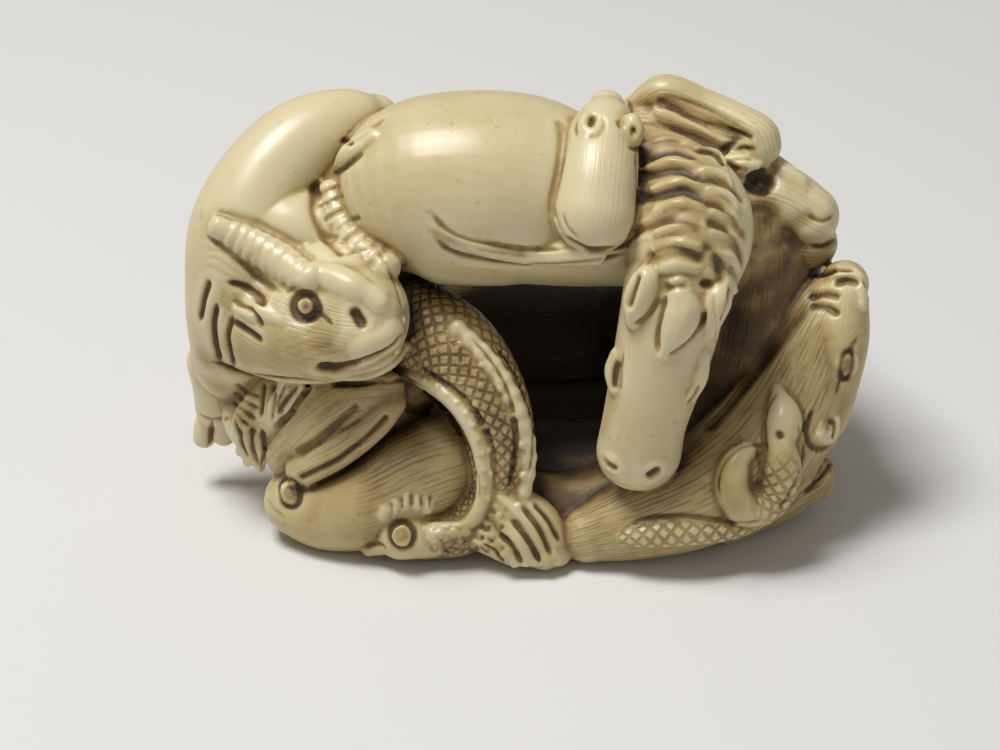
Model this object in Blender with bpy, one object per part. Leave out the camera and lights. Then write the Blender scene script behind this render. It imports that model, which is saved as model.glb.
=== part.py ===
# Netsuke of the twelve zodiac animals, carved as one closed group in one piece of ivory.
# The frame is metres, +Z up, origin at the middle of the underside, -Y towards the horse's face.

import math

import bmesh
import bpy
import numpy as np
from mathutils import Vector
from mathutils.bvhtree import BVHTree

# Driving sizes, in metres
LENGTH = 0.046  # from the goat's neck to the dog's ear
GRAIN = LENGTH / 153  # fineness at which the forms are melted into one skin
GROOVE_DEPTH = 0.00045  # of the widest knife cuts
EYE_RADIUS = 0.00078
EYE_HEIGHT = 0.00030

# Counts and ratios
SPINE_KNOBS = 13
HORN_RIBS = 9
MANE_TUFTS = 7
WING_RIBS = 6
TRIANGLES = 9400
MELT_STEPS = 3
MELT_SHARE = 0.5

# Every figure is drawn as a share of the length. Points are in forty-sixths of it.
MM = LENGTH / 46

# The front is drawn as it looks to someone leaning over it
VIEW_LEAN = math.radians(30)
VIEW_DISTANCE = 190.0
VIEW_AXIS = (-1.94, 13.13)  # the drawing's own middle, across and up
PIVOT = Vector((0.0, 0.0, 13.5))
PIVOT_RISE = 18.13

IVORY = (0.80, 0.72, 0.52)


def viewpoint(azimuth, lean):
    """The axes of a drawing plane through the pivot, and the eye in front of it."""
    turn = math.radians(azimuth)
    towards = Vector(
        (math.sin(turn) * math.cos(lean), -math.cos(turn) * math.cos(lean), math.sin(lean))
    )
    right = Vector((math.cos(turn), math.sin(turn), 0.0))
    up = towards.cross(right)
    middle = PIVOT + right * VIEW_AXIS[0] + up * (VIEW_AXIS[1] - PIVOT_RISE)
    return {"right": right, "up": up, "towards": towards, "eye": middle + towards * VIEW_DISTANCE}


FRONT = viewpoint(0, VIEW_LEAN)
BACK = viewpoint(180, math.radians(15))
BEHIND = (0.0, 1.0, 0.0)


def on_plane(view, across, rise):
    return PIVOT + view["right"] * across + view["up"] * (rise - PIVOT_RISE)


def seen(across, rise, depth):
    """The point at this depth (its Y) that shows at this place in the front drawing."""
    eye = FRONT["eye"]
    ray = on_plane(FRONT, across, rise) - eye
    return eye + ray * ((depth - eye.y) / ray.y)


# Forms

SIDES = 20
RINGS = 28
STEPS = 60
LARGEST_STEP = 4.6  # a low form ends where the surface falls away further than this


def smooth_line(points):
    """A Catmull-Rom line through points that carry their radius as a fourth value."""
    points = np.array(points, float)
    if len(points) == 1:
        return points
    ends = np.vstack([2 * points[0] - points[1], points, 2 * points[-1] - points[-2]])
    rows = []
    for a, b, c, d in zip(ends, ends[1:], ends[2:], ends[3:]):
        for t in np.linspace(0, 1, STEPS // (len(points) - 1) + 1):
            rows.append(
                0.5 * (2 * b + (c - a) * t + (2 * a - 5 * b + 4 * c - d) * t**2
                       + (3 * b - 3 * c + d - a) * t**3)
            )
    return np.array(rows)


def unit_ball():
    """A new sphere of radius one, copied from the one made first."""
    if "ball" not in bpy.data.meshes:
        block = bmesh.new()
        bmesh.ops.create_uvsphere(block, u_segments=SIDES, v_segments=RINGS, radius=1.0)
        block.to_mesh(bpy.data.meshes.new("ball"))
        block.free()
    return bpy.data.meshes["ball"].copy()


def corners(mesh, name):
    """The places or the outward ways of all corners of a mesh."""
    rows = np.empty(len(mesh.vertices) * 3)
    mesh.vertices.foreach_get(name, rows)
    return rows.reshape(-1, 3)


def add_form(block, points, flat=1.0, facing=None, ribs=0, rib_depth=0.0):
    """A sphere drawn out along a line: each point is x, y, z and the radius there.

    flat squeezes it along facing, which is the viewer's way unless told otherwise.
    """
    facing = np.array(facing or FRONT["towards"], float)
    line = smooth_line(points)
    if len(line) == 1:
        side = np.cross(facing, (0.31, 0.22, 0.93))
        side *= 1e-3 / np.linalg.norm(side)
        line = np.vstack([line[0], line[0] + np.append(side, 0)])
    lengths = np.append(0, np.cumsum(np.linalg.norm(np.diff(line[:, :3], axis=0), axis=1)))
    keep = np.append(True, np.diff(lengths) > 1e-6)
    line, lengths = line[keep], lengths[keep]
    start, end, total = line[0, 3], line[-1, 3], lengths[-1]
    mesh = unit_ball()
    ball = corners(mesh, "co")
    share = (1 + ball[:, 2]) / 2
    along = share * (total + start + end) - start
    inside = np.clip(along, 0, total)
    centre = np.stack([np.interp(inside, lengths, line[:, k]) for k in range(3)], axis=1)
    step = max(total * 0.02, 1e-4)
    ahead = np.clip(inside + step, 0, total)
    behind = np.clip(inside - step, 0, total)
    tangent = np.stack(
        [np.interp(ahead, lengths, line[:, k]) - np.interp(behind, lengths, line[:, k])
         for k in range(3)], axis=1)
    tangent /= np.linalg.norm(tangent, axis=1)[:, None]
    centre += tangent * (along - inside)[:, None]
    radius = np.interp(inside, lengths, line[:, 3])
    if ribs:
        radius = radius * (1 + rib_depth * np.cos(2 * np.pi * ribs * inside / total))
    cap = np.minimum(
        np.clip(1 - (along + start) / start, 0, 1), 1) + np.clip(1 - (total + end - along) / end, 0, 1)
    cap = np.sqrt(np.clip(1 - cap**2, 0, 1))
    side = np.cross(tangent, facing)
    side /= np.maximum(np.linalg.norm(side, axis=1), 1e-9)[:, None]
    front = np.cross(side, tangent)
    around = np.hypot(ball[:, 0], ball[:, 1])
    turn = np.where(around[:, None] > 1e-6, ball[:, :2] / np.maximum(around, 1e-9)[:, None], 0)
    placed = centre + (radius * cap)[:, None] * (
        side * turn[:, :1] + front * turn[:, 1:] * flat)
    mesh.vertices.foreach_set("co", placed.ravel())
    block.from_mesh(mesh)
    bpy.data.meshes.remove(mesh)


def drawn(block, points, **kwargs):
    """A form whose points are across, rise, depth and radius in the front drawing."""
    add_form(block, [(*seen(a, r, y), radius) for a, r, y, radius in points], **kwargs)


def touch(skin, view, across, rise):
    """Where the line of sight first meets the carving, and the surface's way there."""
    ray = on_plane(view, across, rise) - view["eye"]
    place, normal, _, _ = skin.ray_cast(view["eye"], ray.normalized())
    return place, normal


def laid(block, skin, view, points, sink=0.3, **kwargs):
    """A low form that follows the surface: points are across, rise and radius.

    sink is the share of its radius by which the form is let into the surface.
    """
    placed = []
    last = None
    for across, rise, radius in points:
        place, _ = touch(skin, view, across, rise)
        if place is None:
            continue
        if last is None or (place - last).length < LARGEST_STEP:
            way = (place - view["eye"]).normalized()
            placed.append((*(place + way * radius * sink), radius))
            last = place
    if placed:
        add_form(block, placed, facing=view["towards"], **kwargs)


def button(block, skin, view, across, rise, radius, height):
    """A low round boss that stands square to the surface, such as an eye."""
    place, normal = touch(skin, view, across, rise)
    if place is not None:
        if normal.dot(view["towards"]) < 0:
            normal = -normal
        add_form(block, [(*place, radius)], flat=height / radius, facing=tuple(normal))


# Main masses of each animal

def horse_masses(block):
    barrel = [(-9.9, 24.3, -1.3, 4.4), (-7.6, 25.3, -2.0, 5.9), (-4.3, 25.6, -2.3, 6.3),
              (-0.6, 25.5, -2.3, 6.2), (2.8, 24.8, -2.3, 5.6), (6.6, 24.4, -2.2, 5.2)]
    neck = [(6.9, 26.6, -0.6, 3.3), (9.0, 25.7, -3.2, 3.5), (10.5, 24.0, -5.6, 4.0),
            (10.7, 22.1, -7.4, 4.0), (10.3, 19.6, -8.6, 3.4)]
    face = [(9.8, 18.9, -9.4, 3.3), (9.3, 16.2, -10.1, 3.2), (8.5, 13.0, -10.7, 2.95),
            (7.75, 10.2, -11.1, 2.7), (7.35, 8.1, -11.2, 2.75)]
    drawn(block, barrel)
    drawn(block, neck)
    drawn(block, face, flat=0.8)
    drawn(block, [(10.4, 17.6, -7.6, 2.6), (9.6, 14.0, -8.4, 2.2)])
    drawn(block, [(9.4, 15.6, -9.2, 2.9), (9.0, 13.6, -9.2, 2.6)], flat=0.9)


def rat_masses(block):
    drawn(block, [(4.4, 24.0, -8.1, 2.6), (4.7, 26.4, -6.6, 2.45), (4.9, 28.6, -4.6, 2.3),
                  (5.1, 30.0, -3.2, 1.95), (5.2, 31.0, -2.0, 1.2)], flat=0.9)


def goat_masses(block):
    body = [(-10.4, 30.1, 2.6, 1.8), (-12.2, 29.7, 1.6, 2.6), (-15.1, 28.5, 0.4, 3.05),
            (-17.4, 26.1, -1.2, 3.35), (-18.9, 22.9, -2.8, 3.7), (-19.3, 19.3, -3.8, 3.6),
            (-19.4, 16.4, -3.8, 3.4), (-19.6, 14.3, -3.0, 2.9)]
    head = [(-18.0, 17.4, -4.6, 4.1), (-15.6, 17.0, -6.4, 4.3), (-13.2, 17.0, -7.6, 4.2),
            (-11.9, 17.1, -8.2, 3.9)]
    leg = [(-20.9, 14.0, -2.2, 2.0), (-20.9, 12.3, -2.0, 1.6), (-20.9, 11.0, -1.9, 1.45)]
    drawn(block, body)
    drawn(block, head, flat=0.85)
    drawn(block, [(-17.0, 22.4, -1.6, 4.2), (-14.4, 24.6, 0.6, 3.8), (-14.0, 20.6, -3.4, 4.0)])
    drawn(block, [(-15.4, 19.8, -6.2, 2.4), (-12.6, 19.9, -7.2, 2.0), (-10.6, 19.2, -7.8, 1.6)])
    drawn(block, leg)
    for across, rise, depth, radius in ((-21.7, 9.0, -1.7, 0.8), (-20.4, 9.2, -2.2, 0.85)):
        drawn(block, [(across + 0.1, rise + 0.9, depth, radius), (across, rise, depth, radius)])


def dragon_masses(block):
    drawn(block, [(-7.8, 16.6, -4.6, 3.0), (-5.0, 14.9, -6.4, 2.9), (-2.9, 12.0, -8.0, 2.6),
                  (-1.9, 8.7, -9.2, 2.25), (-2.1, 5.2, -10.1, 1.9), (-4.3, 2.9, -10.6, 1.7),
                  (-6.8, 2.3, -10.8, 1.5)])


def rooster_masses(block):
    drawn(block, [(-6.6, 2.4, -11.1, 1.5), (-8.5, 2.5, -11.3, 1.7)])
    drawn(block, [(-9.3, 2.1, -11.5, 1.0), (-10.7, 1.5, -11.2, 0.5)])
    drawn(block, [(-3.0, 2.9, -10.9, 1.6), (-0.6, 2.2, -11.5, 1.9), (1.0, 1.4, -11.9, 1.3)])
    drawn(block, [(-1.4, 5.0, -11.0, 1.1), (0.6, 3.2, -11.2, 1.5), (1.9, 1.2, -11.9, 0.9)])


def rabbit_masses(block):
    drawn(block, [(-15.3, 4.7, -7.9, 2.4), (-13.3, 4.0, -8.8, 2.6), (-10.4, 4.6, -9.2, 3.0),
                  (-7.4, 6.4, -8.3, 3.4), (-4.8, 7.6, -7.0, 3.2)])
    ears = [[(-16.2, 7.7, -7.2, 1.5), (-14.3, 10.0, -8.2, 1.75), (-12.0, 11.7, -8.4, 1.8),
             (-9.7, 12.1, -8.0, 1.4)],
            [(-15.2, 6.7, -9.0, 1.1), (-12.8, 8.3, -9.3, 1.35), (-10.6, 10.0, -9.1, 1.3),
             (-9.2, 11.3, -8.6, 1.0)]]
    for ear in ears:
        drawn(block, ear, flat=0.8)
    drawn(block, [(-13.3, 9.0, -4.8, 4.2), (-10.0, 10.5, -4.0, 3.4)])


def dog_masses(block):
    back = [(3.9, 2.6, -10.7, 2.0), (7.4, 3.7, -10.2, 2.9), (11.4, 5.3, -9.4, 3.6),
            (14.8, 7.7, -7.8, 4.0), (17.2, 10.9, -5.8, 3.8), (18.9, 14.4, -4.2, 3.3),
            (20.3, 17.6, -3.3, 2.5), (21.1, 19.2, -2.9, 1.6)]
    face = [(21.0, 18.2, -3.8, 1.7), (20.6, 15.6, -4.8, 2.1), (19.9, 12.6, -5.6, 2.1),
            (19.4, 10.2, -6.2, 1.85), (19.2, 9.3, -6.4, 1.5)]
    drawn(block, back)
    drawn(block, face)
    drawn(block, [(18.0, 6.3, -5.2, 2.1), (16.0, 4.9, -6.8, 1.9), (13.0, 3.4, -8.6, 1.6)])
    drawn(block, [(19.6, 6.8, -5.4, 0.9), (19.5, 5.7, -5.2, 0.9)])


def ox_masses(block):
    drawn(block, [(14.2, 13.0, -1.5, 4.6), (14.9, 16.6, -0.6, 4.6), (15.4, 20.6, 0.6, 4.2),
                  (15.2, 24.0, 0.8, 3.4)])
    drawn(block, [(15.4, 25.2, 0.4, 2.6), (17.2, 24.7, -0.2, 2.25), (18.7, 23.8, -0.7, 2.0)])
    drawn(block, [(16.4, 22.4, 0.2, 2.7), (18.0, 22.1, -0.3, 2.2), (18.8, 22.0, -0.6, 1.8)])
    drawn(block, [(7.0, 31.0, 2.6, 0.8), (9.0, 32.0, 2.4, 1.2), (11.4, 31.2, 2.0, 1.15),
                  (13.8, 30.0, 1.0, 1.3), (15.2, 29.1, 0.3, 1.45), (15.5, 28.5, 0.0, 1.35)])
    drawn(block, [(9.2, 30.4, 1.6, 1.3), (12.0, 29.6, 1.0, 1.2), (14.2, 28.4, 0.2, 1.1)])
    drawn(block, [(8.0, 28.6, 2.4, 3.2), (12.0, 27.4, 2.8, 3.0), (14.6, 26.6, 2.4, 2.4)])
    drawn(block, [(13.6, 27.2, 0.4, 1.5), (15.0, 27.4, -0.2, 1.2)])


def hidden_masses(block):
    """The back of the group: a tiger above, a boar and a monkey below it."""
    tiger = [(-13.0, 4.6, 20.2, 4.6), (-9.0, 5.4, 20.2, 4.1), (-6.0, 6.0, 21.0, 4.5),
             (-1.0, 6.2, 21.0, 4.2), (2.4, 6.6, 20.0, 3.4), (6.0, 6.4, 20.4, 4.0),
             (11.0, 6.0, 20.2, 4.4)]
    tiger_head = [(12.0, 8.2, 19.4, 3.8), (12.2, 9.4, 18.6, 3.6)]
    tiger_muzzle = [(12.2, 11.0, 17.6, 2.2), (12.2, 12.0, 17.0, 1.7)]
    boar = [(-15.0, 5.0, 7.0, 5.0), (-9.0, 7.4, 6.4, 5.2), (-3.0, 8.2, 5.8, 5.0),
            (3.0, 8.4, 5.4, 4.9)]
    boar_head = [(2.6, 9.0, 5.8, 3.9), (5.2, 10.3, 4.8, 2.9), (7.4, 11.2, 3.8, 1.8),
                 (8.4, 11.6, 3.4, 1.5)]
    monkey = [(14.0, 5.4, 5.0, 4.8), (15.4, 5.4, 8.6, 4.4), (16.2, 4.2, 12.6, 4.2),
              (16.6, 3.6, 16.0, 4.0)]
    monkey_head = [(13.4, 9.0, 11.6, 3.0), (13.2, 10.0, 11.0, 2.6)]
    monkey_muzzle = [(13.0, 11.6, 10.0, 1.5), (13.0, 12.2, 9.8, 1.3)]
    monkey_arm = [(16.6, 8.2, 8.4, 1.9), (16.4, 10.4, 5.6, 1.6), (13.4, 11.8, 4.8, 1.3),
                  (11.0, 12.0, 6.2, 1.1)]
    monkey_knee = [(14.6, 9.6, 3.0, 2.4), (12.6, 11.0, 1.8, 1.5), (10.6, 11.6, 1.2, 1.1)]
    for points in (tiger, tiger_head, tiger_muzzle, boar, boar_head, monkey, monkey_head,
                   monkey_muzzle, monkey_arm, monkey_knee):
        add_form(block, points, facing=BEHIND)
    add_form(block, [(-14.0, 3.0, 11.0, 5.0), (-15.6, 3.0, 16.0, 4.8), (-14.6, 3.6, 20.0, 4.6)])
    add_form(block, [(7.1, 7.6, 9.2, 2.3), (8.6, 7.4, 10.4, 2.3)])
    add_form(block, [(8.6, 8.6, 3.4, 3.2), (11.8, 8.6, 3.6, 3.2)])
    for side in (-1, 1):
        add_form(block, [(side * 9.4, 6.6, 8.0, 3.8), (side * 9.6, 7.0, 14.0, 3.3),
                         (side * 9.0, 6.4, 19.0, 3.6)])


def inner_masses(block):
    """The ivory left standing inside, round the gap under the horse."""
    add_form(block, [(-12.6, -3.0, 3.0, 4.8), (-4.0, -3.4, 2.0, 3.9), (5.0, -3.4, 2.0, 3.8),
                     (12.4, -3.0, 3.0, 4.7)])
    add_form(block, [(-13.0, 2.4, 3.0, 4.6), (-4.0, 2.4, 1.8, 3.9), (6.0, 2.4, 1.8, 3.9),
                     (13.0, 2.0, 3.0, 4.6)])
    add_form(block, [(-6.0, 8.2, 2.6, 4.2), (5.0, 8.4, 2.6, 4.0)])
    add_form(block, [(-3.0, -7.6, 2.2, 3.0), (1.4, -8.4, 2.0, 2.7), (6.0, -7.6, 2.2, 3.0)])
    add_form(block, [(-12.5, -2.5, 4.0, 4.4), (-13.5, -1.5, 11.0, 4.6), (-14.0, -1.0, 18.0, 4.6)])
    add_form(block, [(13.0, -2.0, 5.0, 4.6), (13.5, 0.0, 11.0, 4.8), (12.0, 1.5, 19.0, 4.6)])
    add_form(block, [(6.5, 2.0, 22.0, 4.6), (12.0, 2.0, 21.0, 4.6)])
    add_form(block, [(-8.6, -3.4, 10.0, 3.2), (-9.0, -1.0, 15.0, 3.4), (-9.0, 1.0, 20.0, 3.6)])


# Low forms, laid on the masses

def horse_relief(block, skin):
    leg = [(-6.2, 23.0, 0.4), (-3.2, 21.8, 0.65), (0.7, 21.2, 0.75), (4.4, 21.3, 0.8)]
    laid(block, skin, FRONT, leg, sink=0.25, flat=0.8)
    ears = [[(6.9, 16.8, 0.55), (7.25, 18.1, 0.95), (7.8, 19.5, 0.9), (8.0, 20.3, 0.5)],
            [(12.1, 15.9, 0.4), (12.3, 17.0, 0.75), (12.6, 18.2, 0.95), (13.0, 19.2, 0.55)]]
    for ear in ears:
        laid(block, skin, FRONT, ear, sink=-0.2)
    forelock = [(10.0, 19.0, 0.8), (10.2, 17.6, 1.3), (9.7, 16.0, 1.1), (9.0, 14.5, 0.4)]
    laid(block, skin, FRONT, forelock, sink=0.35)
    lids = [[(5.85, 14.5, 0.45), (5.7, 13.4, 0.65), (5.75, 12.2, 0.45)],
            [(11.7, 14.5, 0.45), (11.3, 13.0, 0.65), (10.8, 11.7, 0.45)]]
    for lid in lids:
        laid(block, skin, FRONT, lid, sink=0.35)
    for k in range(MANE_TUFTS):
        share = k / (MANE_TUFTS - 1)
        rise = 28.3 - 8.2 * share
        crest = 10.6 + 1.0 * math.sin(math.pi * share * 0.8)
        laid(block, skin, FRONT,
             [(crest, rise + 0.2, 0.35), (crest - 1.5, rise + 0.35, 0.5),
              (crest - 3.0, rise - 0.1, 0.38)], sink=0.35)
        laid(block, skin, FRONT,
             [(crest + 0.7, rise - 0.1, 0.32), (crest + 1.9, rise - 0.5, 0.42),
              (crest + 2.8, rise - 1.5, 0.32)], sink=0.35)


def goat_relief(block, skin):
    horns = [[(-14.6, 19.5, 1.15), (-16.6, 20.8, 1.2), (-18.6, 22.0, 1.15), (-20.6, 23.0, 0.85)],
             [(-9.7, 20.3, 1.05), (-11.3, 21.6, 1.05), (-12.5, 23.3, 1.05), (-13.3, 25.4, 0.8)]]
    for horn in horns:
        laid(block, skin, FRONT, horn, sink=0.35, ribs=HORN_RIBS, rib_depth=0.14)
    lip = [(-12.8, 13.2, 0.45), (-11.0, 13.4, 0.6), (-9.4, 14.1, 0.6), (-8.3, 15.2, 0.4)]
    laid(block, skin, FRONT, lip, sink=0.4)
    brow = [(-15.3, 19.6, 1.0), (-13.6, 19.6, 1.05), (-11.8, 18.9, 1.0), (-10.2, 17.9, 0.7)]
    laid(block, skin, FRONT, brow, sink=0.6)
    laid(block, skin, FRONT, [(-11.0, 15.2, 1.3), (-9.6, 16.0, 1.2)], sink=0.7)
    laid(block, skin, FRONT, [(-19.3, 17.6, 0.5), (-17.9, 17.4, 0.9), (-16.6, 16.8, 0.35)],
         sink=0.6)
    laid(block, skin, FRONT, [(-10.4, 29.2, 0.6), (-11.9, 27.9, 0.75), (-12.7, 26.9, 0.45)],
         sink=0.3)


def feather_relief(block, skin):
    """The folded tail that hangs between the goat's chin and the rabbit."""
    drawn(block, [(-17.9, 10.4, -4.2, 2.6), (-16.4, 11.4, -5.6, 2.4)])
    outer = [(-18.6, 11.6, -19.6, 9.0), (-18.2, 11.0, -19.3, 8.0), (-17.8, 10.6, -18.8, 7.3),
             (-17.3, 10.2, -18.0, 6.9)]
    inner = [(-16.4, 12.3, -17.2, 9.9), (-15.4, 12.3, -16.4, 10.2), (-14.3, 12.2, -15.8, 9.8)]
    for depth, feathers in ((-6.6, outer), (-8.2, inner)):
        for root_x, root_rise, tip_x, tip_rise in feathers:
            middle = ((root_x + tip_x) / 2 - 0.15, (root_rise + tip_rise) / 2)
            drawn(block, [(root_x, root_rise, depth, 0.4), (*middle, depth, 0.55),
                          (tip_x, tip_rise, depth + 0.8, 0.35)])


def dragon_relief(block, skin):
    belly = [(-8.5, 13.5, 0.5), (-6.0, 12.2, 0.62), (-4.4, 10.6, 0.62), (-3.4, 8.7, 0.6),
             (-2.95, 6.7, 0.6), (-3.1, 4.6, 0.55), (-4.2, 3.0, 0.55), (-6.3, 2.6, 0.7)]
    spine = [(-4.8, 16.3, 0.5), (-2.5, 13.9, 0.6), (-0.9, 11.1, 0.62), (-0.1, 8.2, 0.6),
             (-0.4, 5.4, 0.55), (-1.4, 3.4, 0.4)]
    laid(block, skin, FRONT, belly, sink=0.1)
    laid(block, skin, FRONT, spine, sink=0.0, ribs=SPINE_KNOBS, rib_depth=0.12)


def rooster_relief(block, skin):
    for across, rise in ((-9.8, 4.2), (-9.1, 4.6), (-8.3, 4.9), (-7.5, 4.9), (-6.8, 4.6)):
        laid(block, skin, FRONT, [(across, rise - 0.5, 0.3), (across + 0.1, rise, 0.26)],
             sink=0.2)
    for k in range(WING_RIBS):
        share = k / (WING_RIBS - 1)
        laid(block, skin, FRONT,
             [(-1.9 - 1.6 * share, 5.0 - 2.9 * share, 0.25),
              (-0.2 - 1.3 * share, 3.4 - 2.2 * share, 0.36),
              (1.9 - 3.6 * share, 0.7 - 0.2 * share, 0.34)], sink=0.2)


def snake_relief(block, skin):
    coil = [(16.6, 12.2, 0.35), (16.9, 11.2, 0.9), (17.0, 10.0, 1.25), (16.8, 8.6, 0.95),
            (16.9, 6.9, 1.3), (16.2, 4.9, 1.3), (14.6, 4.1, 1.15), (13.6, 5.4, 1.1),
            (13.8, 7.2, 0.95), (14.6, 8.1, 0.6)]
    tail = [(15.9, 3.6, 0.5), (13.6, 2.9, 0.75), (10.8, 2.7, 0.95), (8.2, 2.5, 0.9),
            (6.4, 2.3, 0.6)]
    laid(block, skin, FRONT, coil, sink=0.05)
    laid(block, skin, FRONT, tail, sink=0.3)


def dog_relief(block, skin):
    laid(block, skin, FRONT, [(20.8, 19.9, 0.6), (21.9, 19.4, 0.65), (22.2, 17.8, 0.4)],
         sink=0.2)
    laid(block, skin, FRONT, [(20.4, 10.0, 0.45), (20.0, 9.1, 0.6), (19.3, 9.0, 0.45)],
         sink=0.3)


def ox_relief(block, skin):
    laid(block, skin, FRONT, [(15.2, 27.1, 0.45), (14.4, 27.2, 0.75), (13.3, 27.4, 0.5)],
         sink=0.1)
    laid(block, skin, FRONT, [(16.4, 27.3, 0.6), (17.2, 26.6, 0.7), (18.2, 26.0, 0.5)],
         sink=0.4)


def rat_relief(block, skin):
    laid(block, skin, FRONT, [(4.05, 30.1, 0.75), (4.1, 29.6, 0.8)], sink=0.55, flat=0.6)
    drawn(block, [(6.9, 30.1, -4.8, 0.55), (7.0, 29.5, -5.1, 0.72), (6.95, 28.9, -5.3, 0.6)])


def hidden_relief(block, skin):
    """Limbs, tail, ears and eyes of the animals on the back."""
    fore_leg = [(8.6, 9.4, 20.6, 2.4), (7.4, 10.8, 17.6, 1.7), (7.6, 10.9, 14.6, 1.3),
                (7.0, 11.6, 13.4, 1.25)]
    hind_leg = [(-9.6, 8.8, 20.6, 2.9), (-7.6, 10.0, 18.0, 2.0), (-9.2, 10.2, 15.2, 1.35),
                (-9.8, 10.4, 12.6, 1.2), (-8.8, 11.2, 11.6, 1.25)]
    tiger_tail = [(-13.6, 7.4, 21.2, 1.1), (-15.6, 7.6, 18.4, 1.0), (-14.6, 8.2, 15.4, 0.95),
                  (-12.8, 9.2, 14.2, 0.9), (-12.6, 9.6, 16.2, 0.8)]
    for points in (fore_leg, hind_leg, tiger_tail):
        add_form(block, points, facing=BEHIND)
    for side in (-1, 1):
        add_form(block, [(12.2 + side * 2.9, 9.2, 22.0, 1.15)], flat=0.6, facing=BEHIND)
        add_form(block, [(12.2 + side * 2.9, 10.4, 17.4, 1.3),
                         (12.2 + side * 1.6, 11.2, 16.2, 0.9)], facing=BEHIND)
        add_form(block, [(13.3 + side * 2.9, 9.4, 11.0, 0.95)], flat=0.6, facing=BEHIND)
        button(block, skin, BACK, -12.6 + side * 1.6, 21.4, EYE_RADIUS / MM, EYE_HEIGHT / MM)
        button(block, skin, BACK, -13.7 + side * 1.1, 13.9, EYE_RADIUS / MM, EYE_HEIGHT / MM)
    limbs = [[(-0.4, 9.2, 2.2), (1.2, 6.2, 1.6), (-0.6, 3.6, 1.2), (-2.6, 3.2, 0.9)],
             [(14.6, 9.6, 2.9), (11.4, 6.6, 2.0), (12.4, 4.0, 1.2), (9.6, 3.2, 0.9)]]
    for limb in limbs:
        laid(block, skin, BACK, limb, sink=0.35)
    laid(block, skin, BACK, [(-2.8, 11.0, 0.7), (-3.4, 9.8, 1.1), (-2.6, 8.6, 0.6)], sink=0.1)
    laid(block, skin, BACK, [(-6.4, 5.2, 0.35), (-6.8, 6.2, 0.4), (-6.5, 7.0, 0.25)], sink=-0.2)
    button(block, skin, BACK, -5.4, 8.4, EYE_RADIUS / MM, EYE_HEIGHT / MM)
    ridge = [(15.0, 11.6, 0.6), (9.0, 12.9, 0.7), (3.0, 12.4, 0.75), (-1.6, 12.0, 0.6)]
    laid(block, skin, BACK, ridge, sink=0.3, ribs=SPINE_KNOBS, rib_depth=0.12)


def eyes(block, skin):
    places = ((-14.9, 17.7), (-16.1, 5.3), (-8.5, 2.4), (21.3, 13.8))
    for across, rise in places:
        button(block, skin, FRONT, across, rise, EYE_RADIUS / MM, EYE_HEIGHT / MM)


# Knife cuts: half width, share of the groove depth, then the points of the line

CUTS = (
    (0.32, 1.0, ((-14.0, 13.4), (-11.9, 13.6), (-9.9, 14.2), (-8.4, 15.6))),  # goat's mouth
    (0.30, 0.8, ((-11.5, 17.3), (-11.1, 16.5))),  # goat's nostril
    (0.30, 0.8, ((-6.4, 22.4), (-3.3, 21.0), (0.7, 20.6), (6.0, 21.1))),  # under the horse's leg
    (0.30, 0.5, ((-6.8, 23.7), (-3.6, 22.6), (0.7, 22.0), (4.0, 22.2))),
    (0.35, 0.9, ((-15.7, 7.6), (-13.4, 9.2), (-11.2, 10.9))),  # between the rabbit's ears
    (0.30, 0.8, ((-15.4, 6.3), (-12.4, 7.8), (-10.0, 9.6))),
    (0.28, 0.9, ((11.8, 17.2), (10.7, 15.5), (9.3, 14.3))),  # beside the horse's forelock
    (0.28, 0.7, ((9.0, 18.6), (8.6, 16.6), (8.6, 14.6))),
    (0.35, 1.0, ((5.0, 6.9), (5.5, 6.6))),  # horse's nostrils
    (0.35, 1.0, ((8.0, 6.6), (8.5, 6.9))),
    (0.85, 2.6, ((15.4, 26.2), (15.8, 26.0))),  # ox's eye hollow
    (0.35, 1.1, ((8.8, 31.0), (11.4, 30.6), (12.8, 29.9), (15.2, 29.0))),  # along its horn
    (0.35, 0.7, ((19.2, 23.7), (20.2, 23.4))),  # its nostril and mouth
    (0.30, 0.7, ((19.0, 22.3), (20.3, 22.5))),
    (0.30, 0.8, ((-13.3, 23.2), (-12.3, 24.0), (-11.0, 27.6))),  # behind the goat's horn
    (0.30, 1.0, ((18.5, 10.2), (18.5, 9.0), (19.3, 8.2), (20.2, 8.8), (20.4, 9.8))),  # dog's mouth
)


def groove(places, normals, skin, view, half_width, depth, points):
    """Lowers the surface along one knife cut."""
    line = smooth_line([(a, r, 0, 0) for a, r in points])[:, :2]
    hits = [touch(skin, view, *p)[0] for p in line]
    hits = np.array([h for h in hits if h is not None])
    near = ((places > hits.min(0) - half_width) & (places < hits.max(0) + half_width)).all(1)
    chosen = np.nonzero(near)[0]
    gaps = np.linalg.norm(places[chosen, None] - hits[None], axis=2).min(1)
    share = np.clip(1 - (gaps / half_width) ** 2, 0, 1)
    places[chosen] -= normals[chosen] * (depth * share)[:, None]


def melted(block):
    """One closed skin round every form, as a mesh."""
    mesh = bpy.data.meshes.new("forms")
    block.to_mesh(mesh)
    rough = bpy.data.objects.new("forms", mesh)
    bpy.context.scene.collection.objects.link(rough)
    remesh = rough.modifiers.new("one skin", "REMESH")
    remesh.mode = "VOXEL"
    remesh.voxel_size = GRAIN / MM
    soften = rough.modifiers.new("soften", "SMOOTH")
    soften.factor = MELT_SHARE
    soften.iterations = MELT_STEPS
    graph = bpy.context.evaluated_depsgraph_get()
    skin = bpy.data.meshes.new_from_object(rough.evaluated_get(graph))
    bpy.data.objects.remove(rough)
    return skin


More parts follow.
